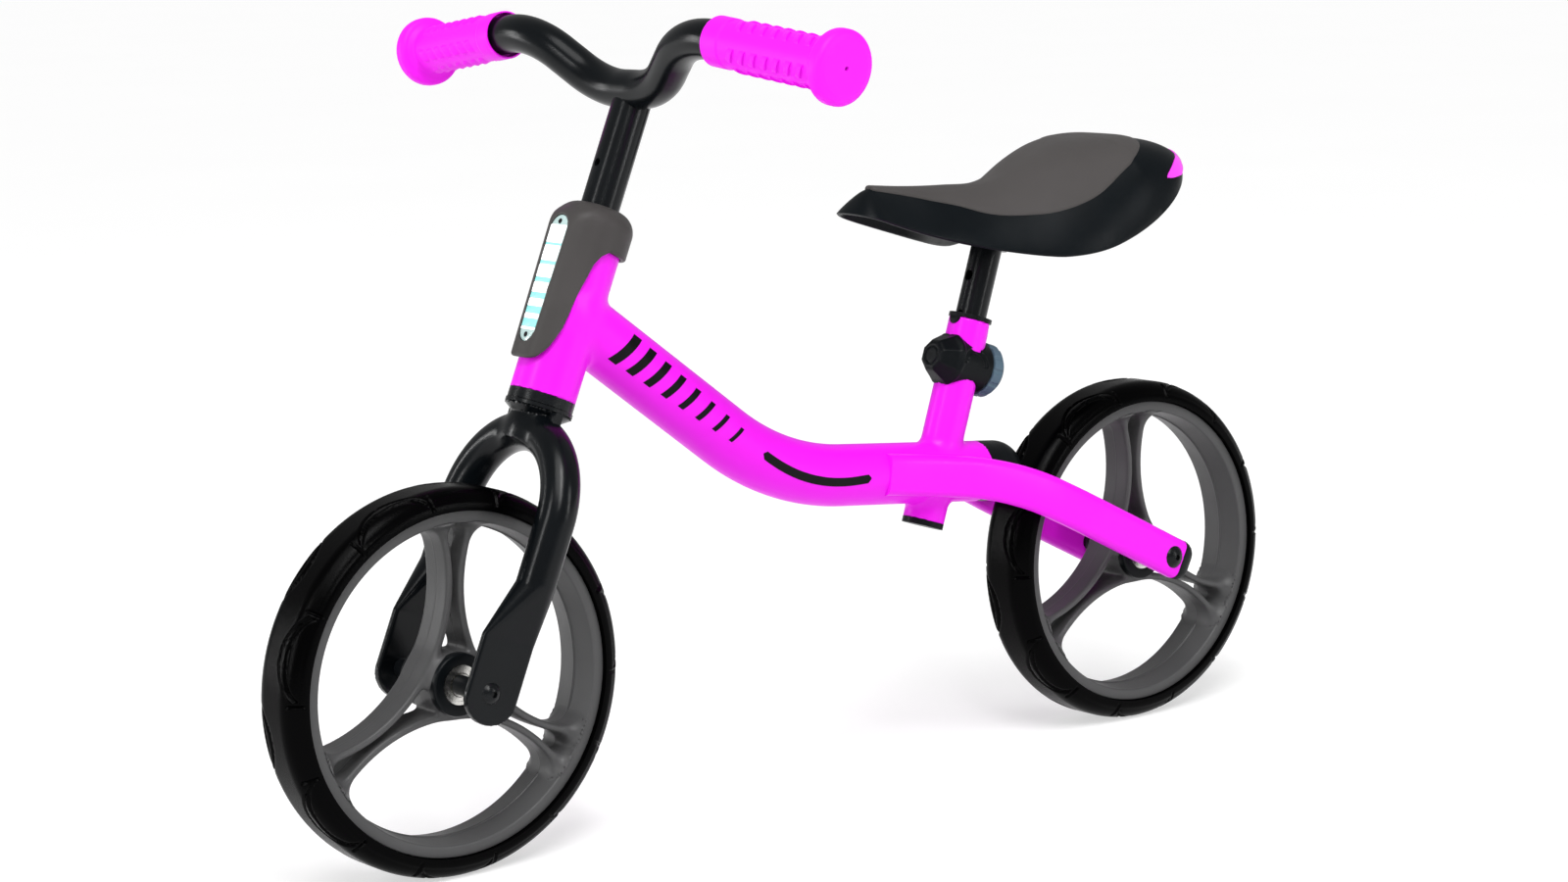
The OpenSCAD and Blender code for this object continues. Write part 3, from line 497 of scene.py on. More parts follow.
def spider_field(x, y, z):
    """Three curved ribs and the hub, filleted into each other and into the rim's barrel."""
    r = np.hypot(x, y)
    ribs = np.full(np.shape(x), 1e9)
    for k in range(3):
        a = math.radians(60 + 120 * k)
        across = np.hypot(x - RIB_CENTRE * math.cos(a), y - RIB_CENTRE * math.sin(a)) - RIB_BEND
        belly = 1.0 - 0.08 * (z / RIB_HALF) ** 2
        ribs = blend_min(ribs, round_box2(across, z, RIB_T / 2 * belly, RIB_HALF, 2.0), 4.0)
    hub = round_box2(r, z, HUB_R, HUB_HALF, 1.2)
    solid = blend_min(ribs, hub, 7.0)
    barrel = BARREL_R + BARREL_FLARE * abs(z) / RIM_HALF - r
    near_rim = blend_min(solid, barrel, 12.0)
    f = np.maximum(near_rim, r - RIB_REACH)
    f = np.maximum(f, abs(z) - HUB_HALF)
    f = np.maximum(f, ribs - 12.0 - 30.0 * (r < 60))
    bore = np.maximum(9.0 - r, BEARING_R + 0.02 - r - 40.0 * (abs(z) < HUB_HALF - BEARING_W))
    return np.maximum(f, bore)


spider_step = 1.05
spider = field_mesh(spider_field, (-89.5, -89.5, -17.5), (89.5, 89.5, 17.5), spider_step)
RIM_PROFILE = rounded(
    [(89.0, -RIM_HALF), (LIP_R, -RIM_HALF), (LIP_R, -13.0), (91.0, -13.0), (91.0, 13.0), (LIP_R, 13.0),
     (LIP_R, RIM_HALF), (89.0, RIM_HALF), (87.1, 1.2), (86.4, 0.6), (86.4, -0.6), (87.1, -1.2)],
    [1.3, 0.7, 0.3, 0.3, 0.3, 0.3, 0.7, 1.3, 0.6, 0.4, 0.4, 0.6], 4)


def tread_depth(angle, axial):
    """How deep the tread is cut: seven crescents on each shoulder, each of four grooves."""
    depth = np.zeros(np.shape(angle))
    pitch, reach = TAU / 7, math.radians(12.5)

    def groove(offset, width, along):
        return np.where(abs(along) < 1.02, np.clip(1 - (offset / width) ** 2, 0, 1), 0)

    for side in (-1, 1):
        t = ((angle + (pitch / 2 if side < 0 else 0)) % pitch - pitch / 2) / reach
        across = side * axial
        for bow in (12.5, 7.0):
            depth = np.maximum(depth, groove(across - 16.5 + bow * (1 - t * t), 1.1, t))
        for end in (-1, 1):
            tick = groove((t - 1.12 * end) * reach * TYRE_R, 1.1, (across - 16.0) / 3.0)
            depth = np.maximum(depth, tick)
    return depth


TREAD_CUT, TREAD_FROM, BEAD_R = 1.2, 98.5, 101.4


def tyre_mesh():
    """The tyre's closed section turned round the axle, with a step at the bead and the tread cut in."""
    flat = TYRE_HALF - SHOULDER_R
    centre = TYRE_R - SHOULDER_R
    arc = np.radians(np.linspace(90, -6, 26))
    half = [(centre + SHOULDER_R * math.sin(a), flat + SHOULDER_R * math.cos(a)) for a in arc]
    crown = [(TYRE_R, x) for x in np.linspace(0, flat, 9)[:-1]]
    wall = [(96.6, 18.7), (96.0, 18.4), (95.9, 17.6), (95.9, 13.3), (91.3, 12.8)]
    half = [(r, x + 0.45 * ease((BEAD_R - r) / 0.9)) for r, x in half]
    side = np.array(crown + half + wall)
    profile = np.concatenate([side, (side * [1, -1])[::-1][:-1]])
    segments = 1176
    t = np.arange(segments) * TAU / segments
    out = np.gradient(profile, axis=0)
    normal = np.stack([out[:, 1], -out[:, 0]], -1)
    normal /= np.linalg.norm(normal, axis=1)[:, None]
    a, x = np.meshgrid(t, profile[:, 1], indexing="ij")
    on_tread = (profile[:, 0] > TREAD_FROM)[None]
    cut = TREAD_CUT * tread_depth(a, x) * on_tread
    r = profile[None, :, 0] - cut * abs(normal[None, :, 0])
    z = profile[None, :, 1] - cut * abs(normal[None, :, 1]) * np.sign(profile[None, :, 1])
    verts = np.stack([r * np.cos(a), r * np.sin(a), z], -1).reshape(-1, 3)
    return verts, grid_faces(segments, len(profile), wrap_rows=True)


rim_ring = revolve(RIM_PROFILE, 240)
tyre = tyre_mesh()
# Black rings on both faces of each hub, round the bearing: painted shade, a dark part put where the shade falls
# round the bearing
cap_in, cap_out, cap_foot, cap_face = BEARING_R + 0.1, HUB_R + 0.5, 12.0, HUB_HALF + 0.3
hub_shade_ring = rounded([(cap_in, cap_foot), (cap_out, cap_foot), (cap_out, cap_face), (cap_in, cap_face)],
                  [0.3, 0.3, 1.4, 0.8], 4)
hub_shade_rings = join(revolve(hub_shade_ring), revolve(hub_shade_ring * [1, -1]))
for end, y, turn in (("front", -AXLE_Y, FRONT_TURN), ("rear", AXLE_Y, REAR_TURN)):
    wheel = f"{end}_wheel"
    v, f = join(spider, rim_ring)
    new_piece(f"{end}_wheel_rim", on_axle(v, y, turn), f, wheel_plastic, wheel,
              [f"{end}_rim", f"{end}_spokes"], 38)
    # Painted shade: the black rings on the hub's faces
    new_piece(f"{end}_hub_shade_rings", on_axle(hub_shade_rings[0], y, turn), hub_shade_rings[1], black_plastic, wheel,
              sharp=38)
    new_piece(f"{end}_tyre_tread", on_axle(tyre[0], y, turn), tyre[1], tyre_foam, wheel, [f"{end}_tyre"],
              50)


# Handlebar and grips ------------------------------------------------------------------

TILT = math.radians(BAR_TILT)
RISE = np.array([0, -math.sin(TILT), math.cos(TILT)])
BAR_O = np.array([0, -BAR_AHEAD, BAR_T])
BAR_N = np.cross([1, 0, 0], RISE)


def on_bar(points):
    """Points of the bar's own plane (across, up and forward, out of the plane), in the row's frame."""
    p = np.asarray(points, float)
    local = BAR_O + p[:, :1] * [1, 0, 0] + p[:, 1:2] * RISE + p[:, 2:] * BAR_N
    return place(local, HEAD)


line = bent_line([(-x, w) for x, w in BAR_CORNERS[::-1]] + BAR_CORNERS, BAR_BEND, 1.5)
line = np.column_stack([line, np.zeros(len(line))])
bar = loft(sweep(line, circle(TUBE_R)))
new_piece("bent_bar", on_bar(bar[0]), bar[1], black_coat, "bars", ["handlebar"], 40)


def grip_mesh():
    """A grip along Z, its outer face at Z = 0: a flange, a sleeve with an open mouth, and rows of fins."""
    profile = rounded([(TUBE_R, 8 - GRIP_L), (12.7, 8 - GRIP_L), (12.7, -GRIP_L), (13.8, -GRIP_L),
                       (13.8, -87.0), (13.2, -85.5), (13.2, -12.5), (16.5, -10.2), (20.2, -9.4), (20.2, -0.8),
                       (15.0, 0.2), (1.2, 0.4), (1.2, -4.0), (TUBE_R, -5.0)],
                      [0.3, 0.3, 0.3, 0.4, 0.4, 0.5, 3.0, 3.0, 3.2, 3.6, 3.0, 0.4, 0.2, 0.2], 5)
    parts = [revolve(profile, 96)]
    long, wide, high = 4.8, 8.5, 1.3
    sleeve_r, rows, per_row, pitch, first = 13.2, 6, 7, 9.0, -22.6
    for row in range(rows):
        slant = (1 if row % 2 else -1) * math.tan(math.radians(25))
        for k in range(per_row):
            loops = []
            for t in np.linspace(-1, 1, 9):
                a = math.radians(81 + 56 * row) + wide / 2 * t / sleeve_r
                z0 = first - pitch * k + slant * wide / 2 * t
                h = high * (1 - t ** 6) ** 0.5
                ring = [(-0.5, -long / 2), (0.0, -long / 2), (0.55 * h, -0.5), (0.95 * h, long / 2 - 0.9),
                        (h, long / 2 - 0.5), (0.9 * h, long / 2 - 0.1), (0.0, long / 2), (-0.5, long / 2)]
                loops.append([((sleeve_r + up) * math.cos(a), (sleeve_r + up) * math.sin(a), z0 + along)
                              for up, along in ring])
            parts.append(loft(loops))
    return join(*parts)


grip_v, grip_f = grip_mesh()
corner, tip = np.array(BAR_CORNERS[1]), np.array(BAR_CORNERS[2])
out = (tip - corner) / np.linalg.norm(tip - corner)
GRIP_PAST = 6.0
end_at = tip + out * GRIP_PAST / out[0]
for side, name in ((1, "left"), (-1, "right")):
    axis = np.array([side * out[0], out[1], 0])
    cross = np.array([-side * out[1], out[0], 0])
    local = np.array([side * end_at[0], end_at[1], 0]) + grip_v[:, 2:] * axis + grip_v[:, :1] * cross \
        + grip_v[:, 1:2] * [0, 0, 1]
    new_piece(f"finned_grip_{name}", on_bar(local), grip_f, grip_rubber, "bars", [f"grip_{name}"],
              45)


# Fork -----------------------------------------------------------------------------------

FLATTEN_T, FLATTEN_OVER = 62.0, 32.0


def fork_field(x, y, t):
    """Two legs flattened into plates at the axle, the arch that joins them, and the neck under the race."""
    x = abs(x)
    u = np.clip((FLATTEN_T - t) / FLATTEN_OVER, 0, 1)
    half_t, half_w = TUBE_R + (PLATE_HALF_T - TUBE_R) * u, TUBE_R + (PLATE_R - TUBE_R) * u
    leg = round_box2(x - LEG_X - (PLATE_X - LEG_X) * u, y - LEG_Y - (PLATE_Y - LEG_Y) * u, half_t, half_w,
                     np.minimum(half_t, half_w))
    leg = np.maximum(leg, np.hypot(y - PLATE_Y, np.minimum(t, 0)) - PLATE_R)
    arch = np.hypot(np.hypot(x, t - ARCH_T) - LEG_X, y - LEG_Y) - TUBE_R
    hoop = np.where(t > ARCH_T, arch, leg)
    r = np.hypot(x, y)
    neck = np.maximum(r - NECK_R, abs(t - 148.0) - 9.2)
    flare = NECK_R + (RACE_R - NECK_R) * np.clip((t - 152.5) / 4.0, 0, 1)
    collar = np.maximum(r - flare, abs(t - 155.2) - 2.1)
    return np.minimum(blend_min(hoop, neck, 7.0), collar)


v, f = field_mesh(fork_field, (-59, -25, -18), (59, 17, 158), 1.1)
new_piece("hoop_fork", place(v, HEAD), f, black_coat, "fork", ["fork_blades"], 32)


# Stays ------------------------------------------------------------------------------------

def stay_direction(a):
    """Backwards along a stay that falls by an angle."""
    return np.array([math.cos(math.radians(a)), -math.sin(math.radians(a))])


def stay_x(y):
    """Outside the wheel behind, and sinking into the main tube's side in front."""
    out = STAY_X[0] + (STAY_X[1] - STAY_X[0]) * ease((y - STAY_X_Y[0]) / (STAY_X_Y[1] - STAY_X_Y[0]))
    return out - STAY_SINK * (1 - ease((y - 50.0) / 70.0))


stay_line = bent_line([np.array(STAY_V) - STAY_FRONT * stay_direction(STAY_SLOPE[0]), STAY_V,
                       np.array(STAY_V) + STAY_BACK * stay_direction(STAY_SLOPE[1])], STAY_BEND, 4.0)
stay_path = np.column_stack([stay_x(stay_line[:, 0]), stay_line])
stay_section = rounded([(-STAY_H / 2, -STAY_W / 2), (STAY_H / 2, -STAY_W / 2), (STAY_H / 2, STAY_W / 2),
                        (-STAY_H / 2, STAY_W / 2)], 5.2, 6)
back = np.append(0, stay_direction(STAY_SLOPE[1]))
CAP_AT = (0.0, 0.4, 2.0, 4.0, 6.0, 7.6, 8.6, 9.0)
cap_path = np.array([stay_path[-1] + back * d for d in CAP_AT])


def cap_section(i):
    """The stay's section, slightly proud at first, then closing to a rounded end."""
    d = CAP_AT[i]
    k = math.sqrt(max(0.0, 1 - ((d + 0.2) / 9.6) ** 2.4)) if d > 1 else 1.0
    grow = 1.015 if d > 0.1 else 1.0
    return stay_section * [grow * (0.35 + 0.65 * k), grow * (0.55 + 0.45 * k)]


for side, name in ((1, "left"), (-1, "right")):
    flip = np.array([side, 1, 1])
    v, f = loft(sweep(stay_path, stay_section, (1, 0, 0)))
    new_piece(f"rear_stay_{name}", v * flip, f, paint, "frame", [f"stay_{name}"], 40)
    v, f = loft(sweep(cap_path, cap_section, (1, 0, 0)))
    new_piece(f"stay_plug_{name}", v * flip, f, black_plastic, "frame", [f"stay_cap_{name}"],
              40)


# Frame tubes and the marking on the main tube -----------------------------------------------

main_line = bent_line(MAIN_PATH, MAIN_BEND, 3.0)
main_path = np.column_stack([np.zeros(len(main_line)), main_line])


def bend_offset(y, z, path, bend):
    """Distance from a line with one bend in its plane, both ends running on."""
    a, v, b = (np.array(p, float) for p in path)
    u, w = (v - a) / np.linalg.norm(v - a), (b - v) / np.linalg.norm(b - v)
    inward = (w - u) / np.linalg.norm(w - u)
    half = math.acos(u @ w) / 2
    centre = v + inward * bend / math.cos(half)
    py, pz = y - centre[0], z - centre[1]
    bisector = -inward
    lean = np.arctan2(bisector[0] * pz - bisector[1] * py, bisector[0] * py + bisector[1] * pz)
    front = abs((y - a[0]) * u[1] - (z - a[1]) * u[0])
    back = abs((y - b[0]) * w[1] - (z - b[1]) * w[0])
    turn = math.copysign(1, bisector[0] * w[1] - bisector[1] * w[0])
    return np.where(abs(lean) < half, abs(np.hypot(py, pz) - bend), np.where(lean * turn < 0, front, back))


WELD = 5.0


def frame_field(x, y, z):
    """The main, head and seat tubes as one welded and painted piece, with a fillet where they meet."""
    main = np.hypot(x, bend_offset(y, z, MAIN_PATH, MAIN_BEND)) - MAIN_R
    end, tail = np.array(MAIN_PATH[2]), np.array(MAIN_PATH[2]) - np.array(MAIN_PATH[1])
    tail = tail / np.linalg.norm(tail)
    main = np.maximum(main, (y - end[0]) * tail[0] + (z - end[1]) * tail[1])
    hx, hy, ht = unplace(x, y, z, HEAD)
    main = np.maximum(main, -hy - 10.0)
    head_r = np.hypot(hx, hy)
    head = round_box2(head_r, ht - sum(HEAD_T) / 2, HEAD_R, (HEAD_T[1] - HEAD_T[0]) / 2, 0.6)
    sx, sy, ss = unplace(x, y, z, SEAT)
    seat_r = np.hypot(sx, sy)
    seat_half = (SEAT_TUBE_S[1] - SEAT_TUBE_S[0]) / 2
    seat = round_box2(seat_r, ss - sum(SEAT_TUBE_S) / 2, SEAT_TUBE_R, seat_half, 0.4)
    solid = blend_min(blend_min(main, head, WELD), seat, WELD)
    return np.maximum(solid, np.maximum(HEAD_BORE - head_r, SEAT_BORE - seat_r))


v, f = field_mesh(frame_field, (-20, -225, 140), (20, 134, 340), 1.2)
new_piece("frame_tubes", v, f, paint, "frame", ["main_tube", "head_tube", "seat_tube"], 38)


def tube_patch(outline_rows, thick=0.16):
    """A thin marking on one side of the main tube: rows of (along the tube, round it from its side)."""
    run = np.concatenate([[0], np.cumsum(np.linalg.norm(np.diff(main_path, axis=0), axis=1))])
    tangent = np.gradient(main_path, axis=0)
    tangent /= np.linalg.norm(tangent, axis=1)[:, None]
    layers = []
    for r in (MAIN_R + thick, MAIN_R - 0.3):
        rows = []
        for row in outline_rows:
            for s, h in row:
                p = np.array([np.interp(s, run, main_path[:, k]) for k in range(3)])
                t = np.array([np.interp(s, run, tangent[:, k]) for k in range(3)])
                up = np.array([0, -t[2], t[1]]) / np.linalg.norm(t)
                rows.append(p + r * (math.cos(h / MAIN_R) * np.array([1, 0, 0]) + math.sin(h / MAIN_R) * up))
        layers.append(np.array(rows))
    n, m = len(outline_rows), len(outline_rows[0])
    top = grid_faces(n, m, wrap_cols=False)
    low = [tuple(i + n * m for i in q[::-1]) for q in top]
    edge = list(range(m)) + [i * m + m - 1 for i in range(1, n)] \
        + [(n - 1) * m + i for i in range(m - 2, -1, -1)] + [i * m for i in range(n - 2, 0, -1)]
    walls = [(edge[i], edge[(i + 1) % len(edge)], edge[(i + 1) % len(edge)] + n * m, edge[i] + n * m)
             for i in range(len(edge))]
    return np.concatenate(layers), top + low + walls


# Eight plain slanted bars, getting smaller towards the rear, and a bowed line behind them
STRIPE, STRIPE_HALF = (151.0, 236.0), 2.6
BARS, BAR_COUNT = (34.0, 128.0), 8
marks = []
for k in range(BAR_COUNT):
    s = BARS[0] + (BARS[1] - BARS[0]) * k / (BAR_COUNT - 1)
    tall = 11.0 - 0.8 * k
    wide = 6.6 - 0.55 * k
    marks.append(tube_patch([[(s + 0.35 * h + w, h) for w in (-wide / 2, 0, wide / 2)]
                             for h in np.linspace(-tall, tall, 9)]))
rows = []
for s in np.linspace(STRIPE[0], STRIPE[1], 40):
    u = (s - STRIPE[0]) / (STRIPE[1] - STRIPE[0])
    end = min(s - STRIPE[0], STRIPE[1] - s)
    half = STRIPE_HALF * math.sqrt(max(0.02, 1 - max(0.0, 1 - end / STRIPE_HALF) ** 2))
    middle = -3.0 * math.sin(u * math.pi)
    rows.append([(s, middle + half * w) for w in (-1, -0.5, 0, 0.5, 1)])
marks.append(tube_patch(rows))
v, f = join(*marks)
for side, name in ((1, "left"), (-1, "right")):
    new_piece(f"frame_marking_{name}", v * [side, 1, 1], f, decal_black, "frame",
              sharp=30)


# Head cover and light ---------------------------------------------------------------------

COVER_EDGE = [(40, 249.5), (6, 249.8), (0.4, 250.1), (-3.9, 246.4), (-6.7, 241), (-10.2, 222.7), (-12.4, 202),
              (-15.6, 190), (-19.2, 182.6), (-22, 180.6), (-40, 180)]
TONGUE_FOOT = 180.6


def slot_distance(x, t, grow):
    """Signed distance to the lens's outline: two circles and the taper between them."""
    (t1, r1), (t0, r0) = LENS_TOP, LENS_FOOT
    h = np.clip((t - t0) / (t1 - t0), 0, 1)
    return np.hypot(x, t - t0 - (t1 - t0) * h) - (r0 + (r1 - r0) * h) - grow


def cover_field(x, y, t):
    """A domed shell round the head tube with a tongue down the front, and a pocket for the lens."""
    r = np.hypot(x, y)
    body = round_box2(r, t - COVER_TOP + 100.0, COVER_R, 100.0, 12.0)
    tongue = round_box2(x, y + COVER_FRONT - 15.8, 14.6 - 0.03 * (255 - t), 15.8, 7.5)
    top = np.hypot(np.maximum(-(y + 8), 0) * 0.8, np.maximum(t - 250.0, 0)) - 18.0
    f = blend_min(body, blend_max(tongue, top, 5.0), 5.0)
    f = blend_max(f, -outline_distance(y, t, COVER_EDGE + [(-40, 100), (40, 100)]), 1.6)
    foot = round_box2(x, t - TONGUE_FOOT - 100.0, 15.0 + 12.0 * ease((t - 186) / 30), 100.0, 10.0)
    f = blend_max(f, foot, 1.6)
    f = blend_max(f, -np.maximum(r - 19.3, t - 267.4), 0.6)
    f = blend_max(f, 11.8 - r, 0.8)
    pocket = np.maximum(slot_distance(x, t, 0.15), y + 18.0)
    return np.maximum(f, -pocket)


v, f = field_mesh(cover_field, (-23, -25, 179), (23, 23, 276), 0.7)
new_piece("light_housing", place(v, HEAD), f, cover_plastic, "frame", ["head_cover"], 42)


def slot_ring(inset, n=64):
    """The lens's outline, drawn in by an inset."""
    (t1, r1), (t0, r0) = LENS_TOP, LENS_FOOT
    a = np.arange(n) * TAU / n
    s = np.sin(a)
    r, t = np.where(s >= 0, r1, r0) - inset, np.where(s >= 0, t1, t0)
    return np.column_stack([r * np.cos(a), t + r * s])


def slot_plate(levels):
    """Loops (inset, distance ahead) of a plate with the lens's outline."""
    loops = []
    for inset, ahead in levels:
        ring = slot_ring(inset)
        loops.append(np.column_stack([ring[:, 0], np.full(len(ring), -ahead), ring[:, 1]]))
    return loft(loops)


LENS_LEVELS = [(0.25, -1.9), (0.1, -1.7), (0.05, -0.6), (0.25, -0.15), (0.8, 0.1), (2.2, 0.22), (4.4, 0.28)]
v, f = slot_plate([(inset, LENS_FACE + ahead) for inset, ahead in LENS_LEVELS])
new_piece("light_window", place(v, HEAD), f, lens_clear, "frame", ["light_lens"], 30)


def plate(x0, x1, t0, t1, ahead0, ahead1, slope=0.0):
    """A thin plate facing forward with rounded corners, wider at the top by its slope."""
    mid = (t0 + t1) / 2
    rows = []
    for ahead, inset in ((ahead0, 0.0), (ahead1 - 0.12, 0.0), (ahead1, 0.12)):
        ring = rounded([(x0 + inset, t0 + inset), (x1 - inset, t0 + inset), (x1 - inset, t1 - inset),
                        (x0 + inset, t1 - inset)], 0.45, 3)
        wide = ring[:, 0] * (1 + slope * (ring[:, 1] - mid))
        rows.append(np.column_stack([wide, np.full(len(ring), -ahead), ring[:, 1]]))
    return loft(rows)


LAMPS, LAMP_MARGIN, LAMP_SLOPE = 7, 0.6, 0.002
white, cyan = [], []
top = 257.4
for k in range(LAMPS):
    tall, gap = 10.4 - 1.5 * k, 1.5 + 0.68 * k
    up = (top - tall - LENS_FOOT[0]) / (LENS_TOP[0] - LENS_FOOT[0])
    half = LENS_FOOT[1] + (LENS_TOP[1] - LENS_FOOT[1]) * up - LAMP_MARGIN
    white.append(plate(-half, half, top - tall, top, LENS_FACE - 0.5, LENS_FACE + 0.45, LAMP_SLOPE))
    if k < LAMPS - 1:
        cyan.append(plate(-half, half, top - tall - gap + 0.1, top - tall - 0.1,
                          LENS_FACE - 0.5, LENS_FACE + 0.38, LAMP_SLOPE))
    top -= tall + gap
v, f = join(*white)
new_piece("light_bars", place(v, HEAD), f, lens_white, "frame", sharp=40)
v, f = join(*cyan)
new_piece("light_gaps", place(v, HEAD), f, lens_cyan, "frame", sharp=40)


# Saddle clamp -----------------------------------------------------------------------------

def clamp_field(x, y, s):
    """A short barrel across the seat tube, with a faceted nose in front."""
    s = s - CLAMP_S
    r, facet = np.hypot(x, s), TAU / 8
    barrel = round_box2(r, y - 1.0, 16.0, 13.0, 1.4)
    flats = r * np.cos((np.arctan2(s, x) + facet / 2) % facet - facet / 2)
    nose = blend_max((flats - 8.6 - 6.6 * (y + 24) / 12) * 0.87, abs(y + 18) - 6.0, 2.0)
    nose = np.maximum(nose, 0.45 - abs(r - 5.2) - 2.0 * np.maximum(0, y + 23.6))
    f = blend_min(barrel, nose, 3.0)
    dimple = np.maximum(abs(np.hypot(y + 1.0, s) - 8.5) - 1.5, np.maximum(15.3 - r, -s))
    f = blend_max(f, -dimple, 0.6)
    return np.maximum(f, SEAT_TUBE_R + 0.05 - np.hypot(x, y))


v, f = field_mesh(clamp_field, (-18, -25, CLAMP_S - 18), (18, 15, CLAMP_S + 18), 0.6)
new_piece("saddle_clamp", place(v, SEAT), f, black_plastic, "frame", ["clamp_body"], 42)

# The half-round tab on the front of the bush's flange
TAB_R, TAB_S = 4.6, 94.6
tab = []
for depth, k in ((-12.3, 1.0), (-13.35, 1.0), (-13.7, 0.85)):
    a = np.linspace(math.pi, TAU, 15)
    ring = np.column_stack([TAB_R * k * np.cos(a), TAB_R * k * np.sin(a)])
    ring = np.vstack([ring, [(TAB_R * k, 0.8), (-TAB_R * k, 0.8)]])
    tab.append(np.column_stack([ring[:, 0], depth + 0.045 * ring[:, 0] ** 2, TAB_S + ring[:, 1]]))
v, f = loft(tab)
new_piece("bush_tab", place(v, SEAT), f, black_plastic, "frame", sharp=40)


# Saddle -----------------------------------------------------------------------------------

def through(v, points):
    """A smooth curve through a few points, level beyond them."""
    p = np.array(points, float)
    slope = np.gradient(p[:, 1], p[:, 0])
    v = np.clip(v, p[0, 0], p[-1, 0])
    i = np.clip(np.searchsorted(p[:, 0], v) - 1, 0, len(p) - 2)
    h = p[i + 1, 0] - p[i, 0]
    t = (v - p[i, 0]) / h
    return (p[i, 1] * (1 + 2 * t) + h * slope[i] * t) * (1 - t) ** 2 \
        + (p[i + 1, 1] * (3 - 2 * t) - h * slope[i + 1] * (1 - t)) * t * t


NOSE_END, TAIL_START = SADDLE_Y + 17.0, 220.0
TAIL_LONG = SADDLE_Y + SADDLE_L - TAIL_START
SPINE_ROUND = 0.2


def half_width(y):
    """The saddle's edge from above, left of the middle."""
    w = through(y, [(50, 20.5), (90, 21.5), (118, 30.0), (142, 43.0), (166, 55.5), (190, 61.5), (210, 62.0)])
    w = w * np.maximum(0, 1 - np.clip((50 - y) / 14, 0, 1) ** 2.2) ** (1 / 2.2)
    return w * np.maximum(0, 1 - np.clip((y - TAIL_START) / TAIL_LONG, 0, 1) ** 2.8) ** (1 / 2.8)


def skirt_z(y):
    """The skirt's lower edge."""
    u = (y - SADDLE_Y) / SADDLE_L - 0.52
    return 307.6 + 32.4 * (np.maximum(0, -u) / 0.52) ** 1.38 + 52.0 * (np.maximum(0, u) / 0.48) ** 2.1


def ridge_z(y):
    """The saddle's top along its middle."""
    return through(y, [(53, 353), (78, 350.6), (111, 349), (140, 348.8), (155, 352), (178, 363), (197, 369),
                       (220, 371.2), (246, 372), (262, 370.8), (278, 366.5)])


def saddle_stations(n):
    """Points round the edge, and the point of the middle line that each one looks at."""
    a = (np.arange(n) + 0.5) * TAU / n
    y = SADDLE_Y + SADDLE_L * (1 - np.cos(a)) / 2
    edge = np.column_stack([np.sign(np.sin(a)) * half_width(y), y])
    return edge, np.column_stack([np.zeros(n), np.clip(y, NOSE_END, TAIL_START)])


def squareness(y):
    """The power of the super-ellipse each cross-section follows."""
    return through(y, [(47, 1.1), (71, 1.38), (92, 1.17), (111, 1.2), (152, 1.4), (179, 1.5), (203, 1.8),
                       (226, 2.5)])


def pad_reach(edge):
    """How far out the pad goes, as a part of the way from the middle line to the edge."""
    y = edge[:, 1]
    side = through(y, [(44, 0.06), (58, 0.26), (71, 0.38), (92, 0.41), (110, 0.51), (125, 0.63), (153, 0.73),
                       (189, 0.80), (220, 0.79)])
    tail = np.clip((y - TAIL_START) / TAIL_LONG, 0, 1)
    return side - 0.33 * tail ** 1.2


def saddle_skin(reach, out=0.0, n=200):
    """A loop of the skin: reach goes from 0 on the middle line to 1 at the skirt, out is how far outwards."""
    edge, spine = saddle_stations(n)
    reach = np.clip(reach, 0, 1) * np.ones(n)
    power = squareness(edge[:, 1])
    away = edge - spine
    size = np.maximum(np.linalg.norm(away, axis=1), 1e-6)
    xy = spine + away * (reach * np.maximum(size + out, 0.5) / size)[:, None]
    low = skirt_z(edge[:, 1])
    soft = np.sqrt(reach ** 2 + SPINE_ROUND ** 2) - SPINE_ROUND
    soft /= math.sqrt(1 + SPINE_ROUND ** 2) - SPINE_ROUND
    lift = np.maximum(0, 1 - soft ** power) ** (1 / power)
    return np.column_stack([xy, low + (ridge_z(xy[:, 1]) + out - low) * lift])


def stitched(loops):
    """Loops of the saddle joined in turn, the first and last closed by strips across the middle line."""
    verts, faces = loft(loops, caps=False)
    n = len(loops[0])
    for first in (0, (len(loops) - 1) * n):
        last = first + n - 1
        faces += [(first + i, first + i + 1, last - i - 1, last - i) for i in range(n // 2 - 1)]
    return verts, faces


n_round = 280
SKIN_T, PAD_DEPTH = 3.2, 1.6
to_middle = np.concatenate([1 - 0.12 * np.linspace(0, 1, 10) ** 2, np.linspace(0.88, 0, 26)[1:]])[:-1]
outside = [saddle_skin(k, n=n_round) for k in to_middle]
inside = [saddle_skin(k, -SKIN_T, n_round) for k in to_middle]
lip = [outside[0] + (inside[0] - outside[0]) * k - [0, 0, 1.2 * math.sin(k * math.pi)]
       for k in (0.25, 0.5, 0.75)]
v, f = stitched(outside[::-1] + lip + inside)
new_piece("saddle_body", v, f, saddle_black, "seat", ["saddle_shell"], 50)

edge, _ = saddle_stations(n_round)
pad_edge = pad_reach(edge)
swell = [(0.0, -0.5), (0.003, 0.0), (0.01, 0.45), (0.03, 0.85), (0.07, 1.2), (0.14, 1.5), (0.24, 1.7)]
swell += [(k, 1.7 + 0.5 * math.sin(min(1, k) * math.pi / 2)) for k in np.linspace(0.34, 0.97, 14)]
pad_top = [saddle_skin(pad_edge * (1 - k), h, n_round) for k, h in swell]
pad_low = [saddle_skin(pad_edge * (1 - k), -PAD_DEPTH, n_round) for k in (0.0, 0.3, 0.6, 0.9)]
v, f = stitched(pad_top[::-1] + pad_low)
new_piece("saddle_cushion", v, f, saddle_grey, "seat", ["saddle_pad"], 55)

